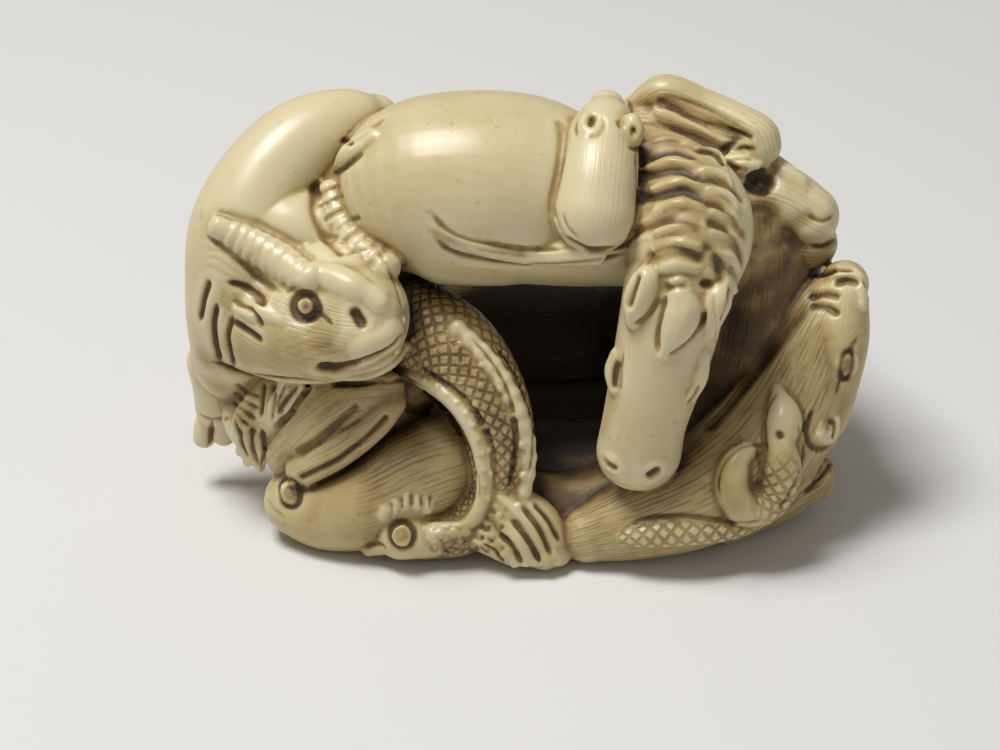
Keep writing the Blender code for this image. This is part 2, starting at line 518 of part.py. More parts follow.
def carve(mesh):
    """Cuts the grooves into the skin."""
    places = corners(mesh, "co")
    normals = corners(mesh, "normal")
    solid = bmesh.new()
    solid.from_mesh(mesh)
    skin = BVHTree.FromBMesh(solid)
    solid.free()
    for half_width, share, points in CUTS:
        groove(places, normals, skin, FRONT, half_width, GROOVE_DEPTH / MM * share, points)
    mesh.vertices.foreach_set("co", places.ravel())
    mesh.update()


def rub_flat(mesh):
    """Cuts the underside off level, so that the group stands on it."""
    solid = bmesh.new()
    solid.from_mesh(mesh)
    every = solid.verts[:] + solid.edges[:] + solid.faces[:]
    cut = bmesh.ops.bisect_plane(solid, geom=every, plane_no=(0, 0, -1), clear_outer=True)
    rim = [e for e in cut["geom_cut"] if isinstance(e, bmesh.types.BMEdge)]
    bmesh.ops.triangle_fill(solid, edges=rim, use_beauty=True, normal=(0, 0, -1))
    bmesh.ops.recalc_face_normals(solid, faces=solid.faces)
    bmesh.ops.triangulate(solid, faces=solid.faces)
    solid.to_mesh(mesh)
    solid.free()


def ivory():
    material = bpy.data.materials.new("ivory")
    material.use_nodes = True
    shader = material.node_tree.nodes["Principled BSDF"]
    shader.inputs["Base Color"].default_value = (*IVORY, 1)
    shader.inputs["Roughness"].default_value = 0.32
    return material


def carved_group():
    """The whole carving, in forty-sixths of its length."""
    block = bmesh.new()
    for masses in (horse_masses, rat_masses, goat_masses, dragon_masses, rooster_masses,
                   rabbit_masses, dog_masses, ox_masses, hidden_masses, inner_masses):
        masses(block)
    skin = BVHTree.FromBMesh(block)
    for relief in (horse_relief, rat_relief, goat_relief, feather_relief, dragon_relief,
                   rooster_relief, snake_relief, dog_relief, ox_relief, hidden_relief, eyes):
        relief(block, skin)
    mesh = melted(block)
    block.free()
    carve(mesh)
    rub_flat(mesh)
    return mesh


def build():
    for old in list(bpy.data.objects):
        bpy.data.objects.remove(old)
    mesh = carved_group()
    places = corners(mesh, "co")
    low, high = places.min(0), places.max(0)
    middle = (low + high) / 2
    scale = LENGTH / (high[0] - low[0])
    places = (places - (middle[0], middle[1], 0)) * scale
    mesh.vertices.foreach_set("co", places.ravel())
    mesh.update()
    mesh.name = "netsuke"
    netsuke = bpy.data.objects.new("netsuke", mesh)
    bpy.context.scene.collection.objects.link(netsuke)
    mesh.materials.clear()
    mesh.materials.append(ivory())
    thin = netsuke.modifiers.new("fewer faces", "DECIMATE")
    thin.ratio = TRIANGLES / len(mesh.polygons)
    mesh.shade_smooth()


build()
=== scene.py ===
import math
import bmesh
import bpy
import numpy as np
from mathutils import Matrix, Vector
from mathutils.bvhtree import BVHTree


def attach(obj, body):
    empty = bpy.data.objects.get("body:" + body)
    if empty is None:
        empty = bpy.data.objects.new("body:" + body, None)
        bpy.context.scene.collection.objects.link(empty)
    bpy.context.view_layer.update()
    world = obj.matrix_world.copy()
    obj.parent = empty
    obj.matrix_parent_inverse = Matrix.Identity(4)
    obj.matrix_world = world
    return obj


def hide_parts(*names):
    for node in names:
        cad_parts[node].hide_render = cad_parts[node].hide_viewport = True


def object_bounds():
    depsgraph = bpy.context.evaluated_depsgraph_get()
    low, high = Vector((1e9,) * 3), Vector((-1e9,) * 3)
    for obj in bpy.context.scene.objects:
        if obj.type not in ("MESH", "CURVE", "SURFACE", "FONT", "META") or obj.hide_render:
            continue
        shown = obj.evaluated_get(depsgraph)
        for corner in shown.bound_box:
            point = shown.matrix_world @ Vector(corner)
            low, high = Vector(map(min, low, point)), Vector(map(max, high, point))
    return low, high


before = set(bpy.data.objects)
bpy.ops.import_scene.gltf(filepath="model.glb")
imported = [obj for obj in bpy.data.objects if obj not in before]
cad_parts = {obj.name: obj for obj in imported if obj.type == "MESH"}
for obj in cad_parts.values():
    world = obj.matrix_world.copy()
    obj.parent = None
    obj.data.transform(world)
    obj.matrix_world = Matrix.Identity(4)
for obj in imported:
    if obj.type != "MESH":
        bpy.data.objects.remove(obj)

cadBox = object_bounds()
cadLow, cadHigh = np.array(cadBox[0]), np.array(cadBox[1])
print("frame loaded, box", cadBox)

# The carving is drawn in millimetres on the plane of the view and scaled to the solid at the end.
drawing = {
    "lean": 30,            # degrees above the table
    "distance": 190.0,
    "axis": (-1.94, 13.13),
    "pivot": (0.0, 0.0, 13.5),
    "pivotRise": 18.13,
    "frameWidth": 66.84,   # what the picture takes in at the pivot
}


def viewpoint(azimuth, lean):
    turn, lean = math.radians(azimuth), math.radians(lean)
    towards = Vector((math.sin(turn) * math.cos(lean), -math.cos(turn) * math.cos(lean),
                      math.sin(lean)))
    right = Vector((math.cos(turn), math.sin(turn), 0))
    up = towards.cross(right)
    middle = (Vector(drawing["pivot"]) + right * drawing["axis"][0]
              + up * (drawing["axis"][1] - drawing["pivotRise"]))
    return {"right": right, "up": up, "towards": towards,
            "eye": middle + towards * drawing["distance"]}


front = viewpoint(0, drawing["lean"])
back = viewpoint(180, 15)
behind = (0.0, 1.0, 0.0)


def onPlane(view, across, rise):
    return (Vector(drawing["pivot"]) + view["right"] * across
            + view["up"] * (rise - drawing["pivotRise"]))


def seen(across, rise, depth):
    ray = onPlane(front, across, rise) - front["eye"]
    return front["eye"] + ray * ((depth - front["eye"].y) / ray.y)


def touch(skin, view, across, rise):
    ray = onPlane(view, across, rise) - view["eye"]
    return skin.ray_cast(view["eye"], ray.normalized())[:2]


# Forms: a ball drawn out along a smooth line, with its thickness given at each point.
ball = {"sides": 44, "rings": 60, "steps": 60, "largestStep": 4.6}
forms = []      # the centre line of every form, in the order of its faces
current = {}    # hair, scales and the rest, for the forms that are being added


def unitBall():
    if "ball" not in bpy.data.meshes:
        block = bmesh.new()
        bmesh.ops.create_uvsphere(block, u_segments=ball["sides"], v_segments=ball["rings"],
                                  radius=1.0)
        block.to_mesh(bpy.data.meshes.new("ball"))
        block.free()
    return bpy.data.meshes["ball"].copy()


def cornersOf(mesh, name="co"):
    rows = np.empty(len(mesh.vertices) * 3)
    mesh.vertices.foreach_get(name, rows)
    return rows.reshape(-1, 3)


def smoothLine(points):
    points = np.array(points, float)
    if len(points) == 1:
        return points
    ends = np.vstack([2 * points[0] - points[1], points, 2 * points[-1] - points[-2]])
    rows = []
    for a, b, c, d in zip(ends, ends[1:], ends[2:], ends[3:]):
        for t in np.linspace(0, 1, ball["steps"] // (len(points) - 1) + 1):
            rows.append(0.5 * (2 * b + (c - a) * t + (2 * a - 5 * b + 4 * c - d) * t**2
                               + (3 * b - 3 * c + d - a) * t**3))
    return np.array(rows)


def alongLine(line, lengths, inside):
    return np.stack([np.interp(inside, lengths, line[:, k]) for k in range(3)], axis=1)


def frameOn(form, inside):
    line, lengths, total = form["line"], form["lengths"], form["total"]
    step = max(total * 0.02, 1e-4)
    tangent = (alongLine(line, lengths, np.clip(inside + step, 0, total))
               - alongLine(line, lengths, np.clip(inside - step, 0, total)))
    tangent /= np.linalg.norm(tangent, axis=1)[:, None]
    side = np.cross(tangent, form["facing"])
    side /= np.maximum(np.linalg.norm(side, axis=1), 1e-9)[:, None]
    return tangent, side, np.cross(side, tangent)


def addForm(block, points, flat=1.0, facing=None, ribs=0, ribDepth=0.0):
    facing = np.array(facing or front["towards"], float)
    line = smoothLine(points)
    if len(line) == 1:
        aside = np.cross(facing, (0.31, 0.22, 0.93))
        line = np.vstack([line[0], line[0] + np.append(aside * 1e-3 / np.linalg.norm(aside), 0)])
    lengths = np.append(0, np.cumsum(np.linalg.norm(np.diff(line[:, :3], axis=0), axis=1)))
    keep = np.append(True, np.diff(lengths) > 1e-6)
    line, lengths = line[keep], lengths[keep]
    start, end, total = line[0, 3], line[-1, 3], lengths[-1]
    form = {"line": line, "lengths": lengths, "total": total, "facing": facing, **current}
    mesh = unitBall()
    unit = cornersOf(mesh)
    along = (1 + unit[:, 2]) / 2 * (total + start + end) - start
    inside = np.clip(along, 0, total)
    tangent, side, outward = frameOn(form, inside)
    centre = alongLine(line, lengths, inside) + tangent * (along - inside)[:, None]
    radius = np.interp(inside, lengths, line[:, 3])
    if ribs:
        radius = radius * (1 + ribDepth * np.cos(2 * np.pi * ribs * inside / total))
    cap = (np.clip(1 - (along + start) / start, 0, 1)
           + np.clip(1 - (total + end - along) / end, 0, 1))
    cap = np.sqrt(np.clip(1 - cap**2, 0, 1))
    around = np.hypot(unit[:, 0], unit[:, 1])[:, None]
    turn = np.where(around > 1e-6, unit[:, :2] / np.maximum(around, 1e-9), 0)
    placed = centre + (radius * cap)[:, None] * (side * turn[:, :1] + outward * turn[:, 1:] * flat)
    mesh.vertices.foreach_set("co", placed.ravel())
    block.from_mesh(mesh)
    bpy.data.meshes.remove(mesh)
    forms.append(form)


def drawn(block, points, **kwargs):
    addForm(block, [(*seen(a, r, y), radius) for a, r, y, radius in points], **kwargs)


def laid(block, skin, view, points, sink=0.3, **kwargs):
    placed, last = [], None
    for across, rise, radius in points:
        place = touch(skin, view, across, rise)[0]
        if place is not None and (last is None or (place - last).length < ball["largestStep"]):
            placed.append((*(place + (place - view["eye"]).normalized() * radius * sink), radius))
            last = place
    if placed:
        addForm(block, placed, facing=view["towards"], **kwargs)


def button(block, skin, view, across, rise, radius, height):
    place, normal = touch(skin, view, across, rise)
    if place is not None:
        if normal.dot(view["towards"]) < 0:
            normal = -normal
        addForm(block, [(*place, radius)], flat=height / radius, facing=tuple(normal))


counts = {"spineKnobs": 13, "hornRibs": 9, "maneTufts": 7, "wingRibs": 6, "eyeRadius": 0.78, "eyeHeight": 0.30}


def horseMasses(block):
    current.clear()
    current.update(hair=0)
    barrel = [(-9.9, 24.3, -1.3, 4.4), (-7.6, 25.3, -2.0, 5.9), (-4.3, 25.6, -2.3, 6.3),
              (-0.6, 25.5, -2.3, 6.2), (2.8, 24.8, -2.3, 5.6), (6.6, 24.4, -2.2, 5.2)]
    neck = [(6.9, 26.6, -0.6, 3.3), (9.0, 25.7, -3.2, 3.5), (10.5, 24.0, -5.6, 4.0),
            (10.7, 22.1, -7.4, 4.0), (10.3, 19.6, -8.6, 3.4)]
    face = [(9.8, 18.9, -9.4, 3.3), (9.3, 16.2, -10.1, 3.2), (8.5, 13.0, -10.7, 2.95),
            (7.75, 10.2, -11.1, 2.7), (7.35, 8.1, -11.2, 2.75)]
    drawn(block, barrel)
    drawn(block, neck)
    drawn(block, face, flat=0.8)
    drawn(block, [(10.4, 17.6, -7.6, 2.6), (9.6, 14.0, -8.4, 2.2)])
    drawn(block, [(9.4, 15.6, -9.2, 2.9), (9.0, 13.6, -9.2, 2.6)], flat=0.9)


def ratMasses(block):
    current.clear()
    current.update(hair=0.12)
    drawn(block, [(4.4, 24.0, -8.1, 2.6), (4.7, 26.4, -6.6, 2.45), (4.9, 28.6, -4.6, 2.3),
                  (5.1, 30.0, -3.2, 1.95), (5.2, 31.0, -2.0, 1.2)], flat=0.9)


def goatMasses(block):
    current.clear()
    current.update(hair=0)
    body = [(-10.4, 30.1, 2.6, 1.8), (-12.2, 29.7, 1.6, 2.6), (-15.1, 28.5, 0.4, 3.05),
            (-17.4, 26.1, -1.2, 3.35), (-18.9, 22.9, -2.8, 3.7), (-19.3, 19.3, -3.8, 3.6),
            (-19.4, 16.4, -3.8, 3.4), (-19.6, 14.3, -3.0, 2.9)]
    head = [(-18.0, 17.4, -4.6, 4.1), (-15.6, 17.0, -6.4, 4.3), (-13.2, 17.0, -7.6, 4.2),
            (-11.9, 17.1, -8.2, 3.9)]
    leg = [(-20.9, 14.0, -2.2, 2.0), (-20.9, 12.3, -2.0, 1.6), (-20.9, 11.0, -1.9, 1.45)]
    drawn(block, body)
    current.update(hair=0.3, hairTurn=20, grime=0.06)
    drawn(block, head, flat=0.85)
    current.update(hair=0, grime=0)
    drawn(block, [(-17.2, 22.8, -3.0, 3.5), (-15.2, 22.4, -3.6, 3.2), (-13.4, 21.4, -4.0, 2.7)])
    drawn(block, [(-17.0, 22.4, -1.6, 4.2), (-14.4, 24.6, 0.6, 3.8), (-14.0, 20.6, -3.4, 4.0)])
    drawn(block, [(-15.4, 19.8, -6.2, 2.4), (-12.6, 19.9, -7.2, 2.0), (-10.6, 19.2, -7.8, 1.6)])
    drawn(block, leg)
    for across, rise, depth, radius in ((-21.7, 9.0, -1.7, 0.8), (-20.4, 9.2, -2.2, 0.85)):
        drawn(block, [(across + 0.1, rise + 0.9, depth, radius), (across, rise, depth, radius)])


def dragonMasses(block):
    current.clear()
    # the grime value is brown grime plus painted shade that darkens this low, shaded animal
    current.update(hair=0, scales=1.0, scaleSize=0.8, grime=0.44)
    drawn(block, [(-7.8, 16.6, -4.6, 3.0), (-5.0, 14.9, -6.4, 2.9), (-2.9, 12.0, -8.0, 2.6),
                  (-1.9, 8.7, -9.2, 2.25), (-2.1, 5.2, -10.1, 1.9), (-4.3, 2.9, -10.6, 1.7),
                  (-6.8, 2.3, -10.8, 1.5)])


def roosterMasses(block):
    current.clear()
    # the grime value is brown grime plus painted shade that darkens this low, shaded animal
    current.update(hair=0.0, grime=0.22)
    drawn(block, [(-6.6, 2.4, -11.1, 1.5), (-8.5, 2.5, -11.3, 1.7)])
    drawn(block, [(-9.3, 2.1, -11.5, 1.0), (-10.7, 1.5, -11.2, 0.5)])
    drawn(block, [(-3.0, 2.9, -10.9, 1.6), (-0.6, 2.2, -11.5, 1.9), (1.0, 1.4, -11.9, 1.3)])
    drawn(block, [(-1.4, 5.0, -11.0, 1.1), (0.6, 3.2, -11.2, 1.5), (1.9, 1.2, -11.9, 0.9)])


def rabbitMasses(block):
    current.clear()
    # the grime value is brown grime plus painted shade that darkens this low, shaded animal
    current.update(hair=0.75, hairTurn=8, grime=0.32)
    current.update(dressed=(0.38, 2))
    drawn(block, [(-15.3, 4.7, -7.9, 2.4), (-13.3, 4.0, -8.8, 2.6), (-10.4, 4.6, -9.2, 3.0),
                  (-7.4, 6.4, -8.3, 3.4), (-4.8, 7.6, -7.0, 3.2)])
    ears = [[(-16.2, 7.7, -7.2, 1.5), (-14.3, 10.0, -8.2, 1.75), (-12.0, 11.7, -8.4, 1.8),
             (-9.7, 12.1, -8.0, 1.4)],
            [(-15.2, 6.7, -9.0, 1.1), (-12.8, 8.3, -9.3, 1.35), (-10.6, 10.0, -9.1, 1.3),
             (-9.2, 11.3, -8.6, 1.0)]]
    current.update(dressed=(-1, 2), hair=0.45)
    for ear in ears:
        drawn(block, ear, flat=0.8)
    drawn(block, [(-13.3, 9.0, -4.8, 4.2), (-10.0, 10.5, -4.0, 3.4)])


def dogMasses(block):
    current.clear()
    # the grime value is brown grime plus painted shade that darkens this low, shaded animal
    current.update(hair=0.8, hairTurn=0, grime=0.25)
    barrel = [(3.9, 2.6, -10.7, 2.0), (7.4, 3.7, -10.2, 2.9), (11.4, 5.3, -9.4, 3.6),
            (14.8, 7.7, -7.8, 4.0), (17.2, 10.9, -5.8, 3.8), (18.9, 14.4, -4.2, 3.3),
            (20.3, 17.6, -3.3, 2.5), (21.1, 19.2, -2.9, 1.6)]
    face = [(21.0, 18.2, -3.8, 1.7), (20.6, 15.6, -4.8, 2.1), (19.9, 12.6, -5.6, 2.1),
            (19.4, 10.2, -6.2, 1.85), (19.2, 9.3, -6.4, 1.5)]
    drawn(block, barrel)
    current.update(hair=0.12)
    drawn(block, face)
    current.update(hair=0.8)
    drawn(block, [(18.0, 6.3, -5.2, 2.1), (16.0, 4.9, -6.8, 1.9), (13.0, 3.4, -8.6, 1.6)])
    drawn(block, [(19.6, 6.8, -5.4, 0.9), (19.5, 5.7, -5.2, 0.9)])


def oxMasses(block):
    current.clear()
    # the grime value is brown grime plus painted shade on the shaded jaw and chest
    current.update(hair=0.35, grime=0.12)
    drawn(block, [(14.2, 13.0, -1.5, 4.6), (14.9, 16.6, -0.6, 4.6), (15.4, 20.6, 0.6, 4.2),
                  (15.2, 24.0, 0.8, 3.4)])
    drawn(block, [(15.4, 25.2, 0.4, 2.6), (17.2, 24.7, -0.2, 2.25), (18.7, 23.8, -0.7, 2.0)])
    drawn(block, [(16.4, 22.4, 0.2, 2.7), (18.0, 22.1, -0.3, 2.2), (18.8, 22.0, -0.6, 1.8)])
    drawn(block, [(7.0, 31.0, 2.6, 0.8), (9.0, 32.0, 2.4, 1.2), (11.4, 31.2, 2.0, 1.15),
                  (13.8, 30.0, 1.0, 1.3), (15.2, 29.1, 0.3, 1.45), (15.5, 28.5, 0.0, 1.35)])
    drawn(block, [(9.2, 30.4, 1.6, 1.3), (12.0, 29.6, 1.0, 1.2), (14.2, 28.4, 0.2, 1.1)])
    drawn(block, [(8.0, 28.6, 2.4, 3.2), (12.0, 27.4, 2.8, 3.0), (14.6, 26.6, 2.4, 2.4)])
    drawn(block, [(13.6, 27.2, 0.4, 1.5), (15.0, 27.4, -0.2, 1.2)])


def hiddenMasses(block):
    # the back of the group: a tiger above, a boar and a monkey below it
    current.clear()
    current.update(hair=0.6)
    tiger = [(-13.0, 4.6, 20.2, 4.6), (-9.0, 5.4, 20.2, 4.1), (-6.0, 6.0, 21.0, 4.5),
             (-1.0, 6.2, 21.0, 4.2), (2.4, 6.6, 20.0, 3.4), (6.0, 6.4, 20.4, 4.0),
             (11.0, 6.0, 20.2, 4.4)]
    tigerHead = [(12.0, 8.2, 19.4, 3.8), (12.2, 9.4, 18.6, 3.6)]
    tigerMuzzle = [(12.2, 11.0, 17.6, 2.2), (12.2, 12.0, 17.0, 1.7)]
    boar = [(-15.0, 5.0, 7.0, 5.0), (-9.0, 7.4, 6.4, 5.2), (-3.0, 8.2, 5.8, 5.0),
            (3.0, 8.4, 5.4, 4.9)]
    boarHead = [(2.6, 9.0, 5.8, 3.9), (5.2, 10.3, 4.8, 2.9), (7.4, 11.2, 3.8, 1.8),
                 (8.4, 11.6, 3.4, 1.5)]
    monkey = [(14.0, 5.4, 5.0, 4.8), (15.4, 5.4, 8.6, 4.4), (16.2, 4.2, 12.6, 4.2),
              (16.6, 3.6, 16.0, 4.0)]
    monkeyHead = [(13.4, 9.0, 11.6, 3.0), (13.2, 10.0, 11.0, 2.6)]
    monkeyMuzzle = [(13.0, 11.6, 10.0, 1.5), (13.0, 12.2, 9.8, 1.3)]
    monkeyArm = [(16.6, 8.2, 8.4, 1.9), (16.4, 10.4, 5.6, 1.6), (13.4, 11.8, 4.8, 1.3),
                  (11.0, 12.0, 6.2, 1.1)]
    monkeyKnee = [(14.6, 9.6, 3.0, 2.4), (12.6, 11.0, 1.8, 1.5), (10.6, 11.6, 1.2, 1.1)]
    for points, amount in ((tiger, 0.25), (tigerHead, 0.08), (tigerMuzzle, 0), (boar, 0.8),
                           (boarHead, 0.6), (monkey, 0.5), (monkeyHead, 0.2), (monkeyMuzzle, 0),
                           (monkeyArm, 0.5), (monkeyKnee, 0.5)):
        current.update(hair=amount)
        addForm(block, points, facing=behind)
    addForm(block, [(-14.0, 3.0, 11.0, 5.0), (-15.6, 3.0, 16.0, 4.8), (-14.6, 3.6, 20.0, 4.6)])
    addForm(block, [(7.1, 7.6, 9.2, 2.3), (8.6, 7.4, 10.4, 2.3)])
    addForm(block, [(8.6, 8.6, 3.4, 3.2), (11.8, 8.6, 3.6, 3.2)])
    for side in (-1, 1):
        addForm(block, [(side * 9.4, 6.6, 8.0, 3.8), (side * 9.6, 7.0, 14.0, 3.3),
                         (side * 9.0, 6.4, 19.0, 3.6)])


def innerMasses(block):
    # the ivory left standing inside, round the gap under the horse
    current.clear()
    # the grime value here is painted shade that darkens the inside of the gap
    current.update(hair=0, grime=0.5)
    addForm(block, [(-12.6, -3.0, 3.0, 4.8), (-4.0, -3.4, 2.0, 3.9), (5.0, -3.4, 2.0, 3.8),
                     (12.4, -3.0, 3.0, 4.7)])
    addForm(block, [(-13.0, 2.4, 3.0, 4.6), (-4.0, 2.4, 1.8, 3.9), (6.0, 2.4, 1.8, 3.9),
                     (13.0, 2.0, 3.0, 4.6)])
    addForm(block, [(-6.0, 8.2, 2.6, 4.2), (5.0, 8.4, 2.6, 4.0)])
    addForm(block, [(-3.0, -7.6, 2.2, 3.0), (1.4, -8.4, 2.0, 2.7), (6.0, -7.6, 2.2, 3.0)])
    addForm(block, [(-12.5, -2.5, 4.0, 4.4), (-13.5, -1.5, 11.0, 4.6), (-14.0, -1.0, 18.0, 4.6)])
    addForm(block, [(13.0, -2.0, 5.0, 4.6), (13.5, 0.0, 11.0, 4.8), (12.0, 1.5, 19.0, 4.6)])
    addForm(block, [(6.5, 2.0, 22.0, 4.6), (12.0, 2.0, 21.0, 4.6)])
    addForm(block, [(-8.6, -3.4, 10.0, 3.2), (-9.0, -1.0, 15.0, 3.4), (-9.0, 1.0, 20.0, 3.6)])


# Low forms, laid on the masses

def horseRelief(block, skin):
    current.clear()
    current.update(hair=0)
    leg = [(-6.2, 23.0, 0.4), (-3.2, 21.8, 0.65), (0.7, 21.2, 0.75), (4.4, 21.3, 0.8)]
    laid(block, skin, front, leg, sink=0.25, flat=0.8)
    ears = [[(6.9, 16.8, 0.55), (7.25, 18.1, 0.95), (7.8, 19.5, 0.9), (8.0, 20.3, 0.5)],
            [(12.1, 15.9, 0.4), (12.3, 17.0, 0.75), (12.6, 18.2, 0.95), (13.0, 19.2, 0.55)]]
    for ear in ears:
        laid(block, skin, front, ear, sink=-0.2)
    forelock = [(10.0, 19.0, 0.8), (10.2, 17.6, 1.3), (9.7, 16.0, 1.1), (9.0, 14.5, 0.4)]
    laid(block, skin, front, forelock, sink=0.35)
    lids = [[(5.85, 14.5, 0.45), (5.7, 13.4, 0.65), (5.75, 12.2, 0.45)],
            [(11.7, 14.5, 0.45), (11.3, 13.0, 0.65), (10.8, 11.7, 0.45)]]
    for lid in lids:
        laid(block, skin, front, lid, sink=0.35)
    for k in range(counts["maneTufts"]):
        share = k / (counts["maneTufts"] - 1)
        rise = 28.3 - 8.2 * share
        crest = 10.6 + 1.0 * math.sin(math.pi * share * 0.8)
        laid(block, skin, front,
             [(crest, rise + 0.2, 0.35), (crest - 1.5, rise + 0.35, 0.5),
              (crest - 3.0, rise - 0.1, 0.38)], sink=0.35)
        laid(block, skin, front,
             [(crest + 0.7, rise - 0.1, 0.32), (crest + 1.9, rise - 0.5, 0.42),
              (crest + 2.5, rise - 1.3, 0.30)], sink=0.35)


def goatRelief(block, skin):
    current.clear()
    current.update(hair=0)
    horns = [[(-14.6, 19.5, 1.15), (-16.6, 20.8, 1.2), (-18.6, 22.0, 1.15), (-20.6, 23.0, 0.85)],
             [(-9.7, 20.3, 1.05), (-11.3, 21.6, 1.05), (-12.5, 23.3, 1.05), (-13.3, 25.4, 0.8)]]
    for horn in horns:
        laid(block, skin, front, horn, sink=0.35, ribs=counts["hornRibs"], ribDepth=0.085)
    lip = [(-12.8, 13.2, 0.45), (-11.0, 13.4, 0.6), (-9.4, 14.1, 0.6), (-8.3, 15.2, 0.4)]
    laid(block, skin, front, lip, sink=0.4)
    brow = [(-15.3, 19.6, 1.0), (-13.6, 19.6, 1.05), (-11.8, 18.9, 1.0), (-10.2, 17.9, 0.7)]
    laid(block, skin, front, brow, sink=0.6)
    laid(block, skin, front, [(-11.0, 15.2, 1.3), (-9.6, 16.0, 1.2)], sink=0.7)
    laid(block, skin, front, [(-19.3, 17.6, 0.5), (-17.9, 17.4, 0.9), (-16.6, 16.8, 0.35)],
         sink=0.6)
    laid(block, skin, front, [(-10.4, 29.2, 0.6), (-11.9, 27.9, 0.75), (-12.7, 26.9, 0.45)],
         sink=0.3)


def featherRelief(block, skin):
    # the folded tail that hangs between the goat's chin and the rabbit
    current.clear()
    current.update(hair=0)
    drawn(block, [(-17.9, 10.4, -4.2, 2.6), (-16.4, 11.4, -5.6, 2.4)])
    outer = [(-18.6, 11.6, -19.6, 9.0), (-18.2, 11.0, -19.3, 8.0), (-17.8, 10.6, -18.8, 7.3),
             (-17.3, 10.2, -18.0, 6.9)]
    inner = [(-16.4, 12.3, -17.2, 9.9), (-15.4, 12.3, -16.4, 10.2), (-14.3, 12.2, -15.8, 9.8)]
    for depth, feathers in ((-6.6, outer), (-8.2, inner)):
        for rootX, rootRise, tipX, tipRise in feathers:
            middle = ((rootX + tipX) / 2 - 0.15, (rootRise + tipRise) / 2)
            drawn(block, [(rootX, rootRise, depth, 0.4), (*middle, depth, 0.55),
                          (tipX, tipRise, depth + 0.8, 0.35)])


def dragonRelief(block, skin):
    current.clear()
    current.update(hair=0)
    belly = [(-8.5, 13.5, 0.5), (-6.0, 12.2, 0.62), (-4.4, 10.6, 0.62), (-3.4, 8.7, 0.6),
             (-2.95, 6.7, 0.6), (-3.1, 4.6, 0.55), (-4.2, 3.0, 0.55), (-6.3, 2.6, 0.7)]
    spine = [(-4.8, 16.3, 0.5), (-2.5, 13.9, 0.6), (-0.9, 11.1, 0.62), (-0.1, 8.2, 0.6),
             (-0.4, 5.4, 0.55), (-1.4, 3.4, 0.4)]
    laid(block, skin, front, belly, sink=0.1)
    laid(block, skin, front, spine, sink=0.0, ribs=counts["spineKnobs"], ribDepth=0.12)


def roosterRelief(block, skin):
    current.clear()
    current.update(hair=0)
    for across, rise in ((-9.8, 4.2), (-9.1, 4.6), (-8.3, 4.9), (-7.5, 4.9), (-6.8, 4.6)):
        laid(block, skin, front, [(across, rise - 0.5, 0.3), (across + 0.1, rise, 0.26)],
             sink=0.2)
    for k in range(counts["wingRibs"]):
        share = k / (counts["wingRibs"] - 1)
        laid(block, skin, front,
             [(-1.9 - 1.6 * share, 5.0 - 2.9 * share, 0.25),
              (-0.2 - 1.3 * share, 3.4 - 2.2 * share, 0.36),
              (1.9 - 3.6 * share, 0.7 - 0.2 * share, 0.34)], sink=0.2)


def snakeRelief(block, skin):
    current.clear()
    # the grime value is brown grime plus painted shade that darkens this low, shaded animal
    current.update(hair=0, scales=1.0, scaleSize=0.9, grime=0.10, dressed=(0.27, 0.70))
    coil = [(16.6, 12.2, 0.35), (16.9, 11.2, 0.9), (17.0, 10.0, 1.25), (16.8, 8.6, 0.95),
            (16.9, 6.9, 1.3), (16.2, 4.9, 1.3), (14.6, 4.1, 1.15), (13.6, 5.4, 1.1),
            (13.8, 7.2, 0.95), (14.6, 8.1, 0.6)]
    tail = [(15.9, 3.6, 0.5), (13.6, 2.9, 0.75), (10.8, 2.7, 0.95), (8.2, 2.5, 0.9),
            (6.4, 2.3, 0.6)]
    laid(block, skin, front, coil, sink=0.05)
    current.update(dressed=(-1, 2))
    laid(block, skin, front, tail, sink=0.3)


def dogRelief(block, skin):
    current.clear()
    current.update(hair=0.1)
    laid(block, skin, front, [(20.8, 19.9, 0.6), (21.9, 19.4, 0.65), (22.2, 17.8, 0.4)],
         sink=0.2)
    laid(block, skin, front, [(20.4, 10.0, 0.45), (20.0, 9.1, 0.6), (19.3, 9.0, 0.45)],
         sink=0.3)


def oxRelief(block, skin):
    current.clear()
    current.update(hair=0.2)
    laid(block, skin, front, [(15.2, 27.1, 0.45), (14.4, 27.2, 0.75), (13.3, 27.4, 0.5)],
         sink=0.1)
    laid(block, skin, front, [(16.4, 27.3, 0.6), (17.2, 26.6, 0.7), (18.2, 26.0, 0.5)],
         sink=0.4)


def ratRelief(block, skin):
    current.clear()
    current.update(hair=0)
    laid(block, skin, front, [(4.05, 30.1, 0.75), (4.1, 29.6, 0.8)], sink=0.55, flat=0.6)
    drawn(block, [(6.9, 30.1, -4.8, 0.55), (7.0, 29.5, -5.1, 0.72), (6.95, 28.9, -5.3, 0.6)])


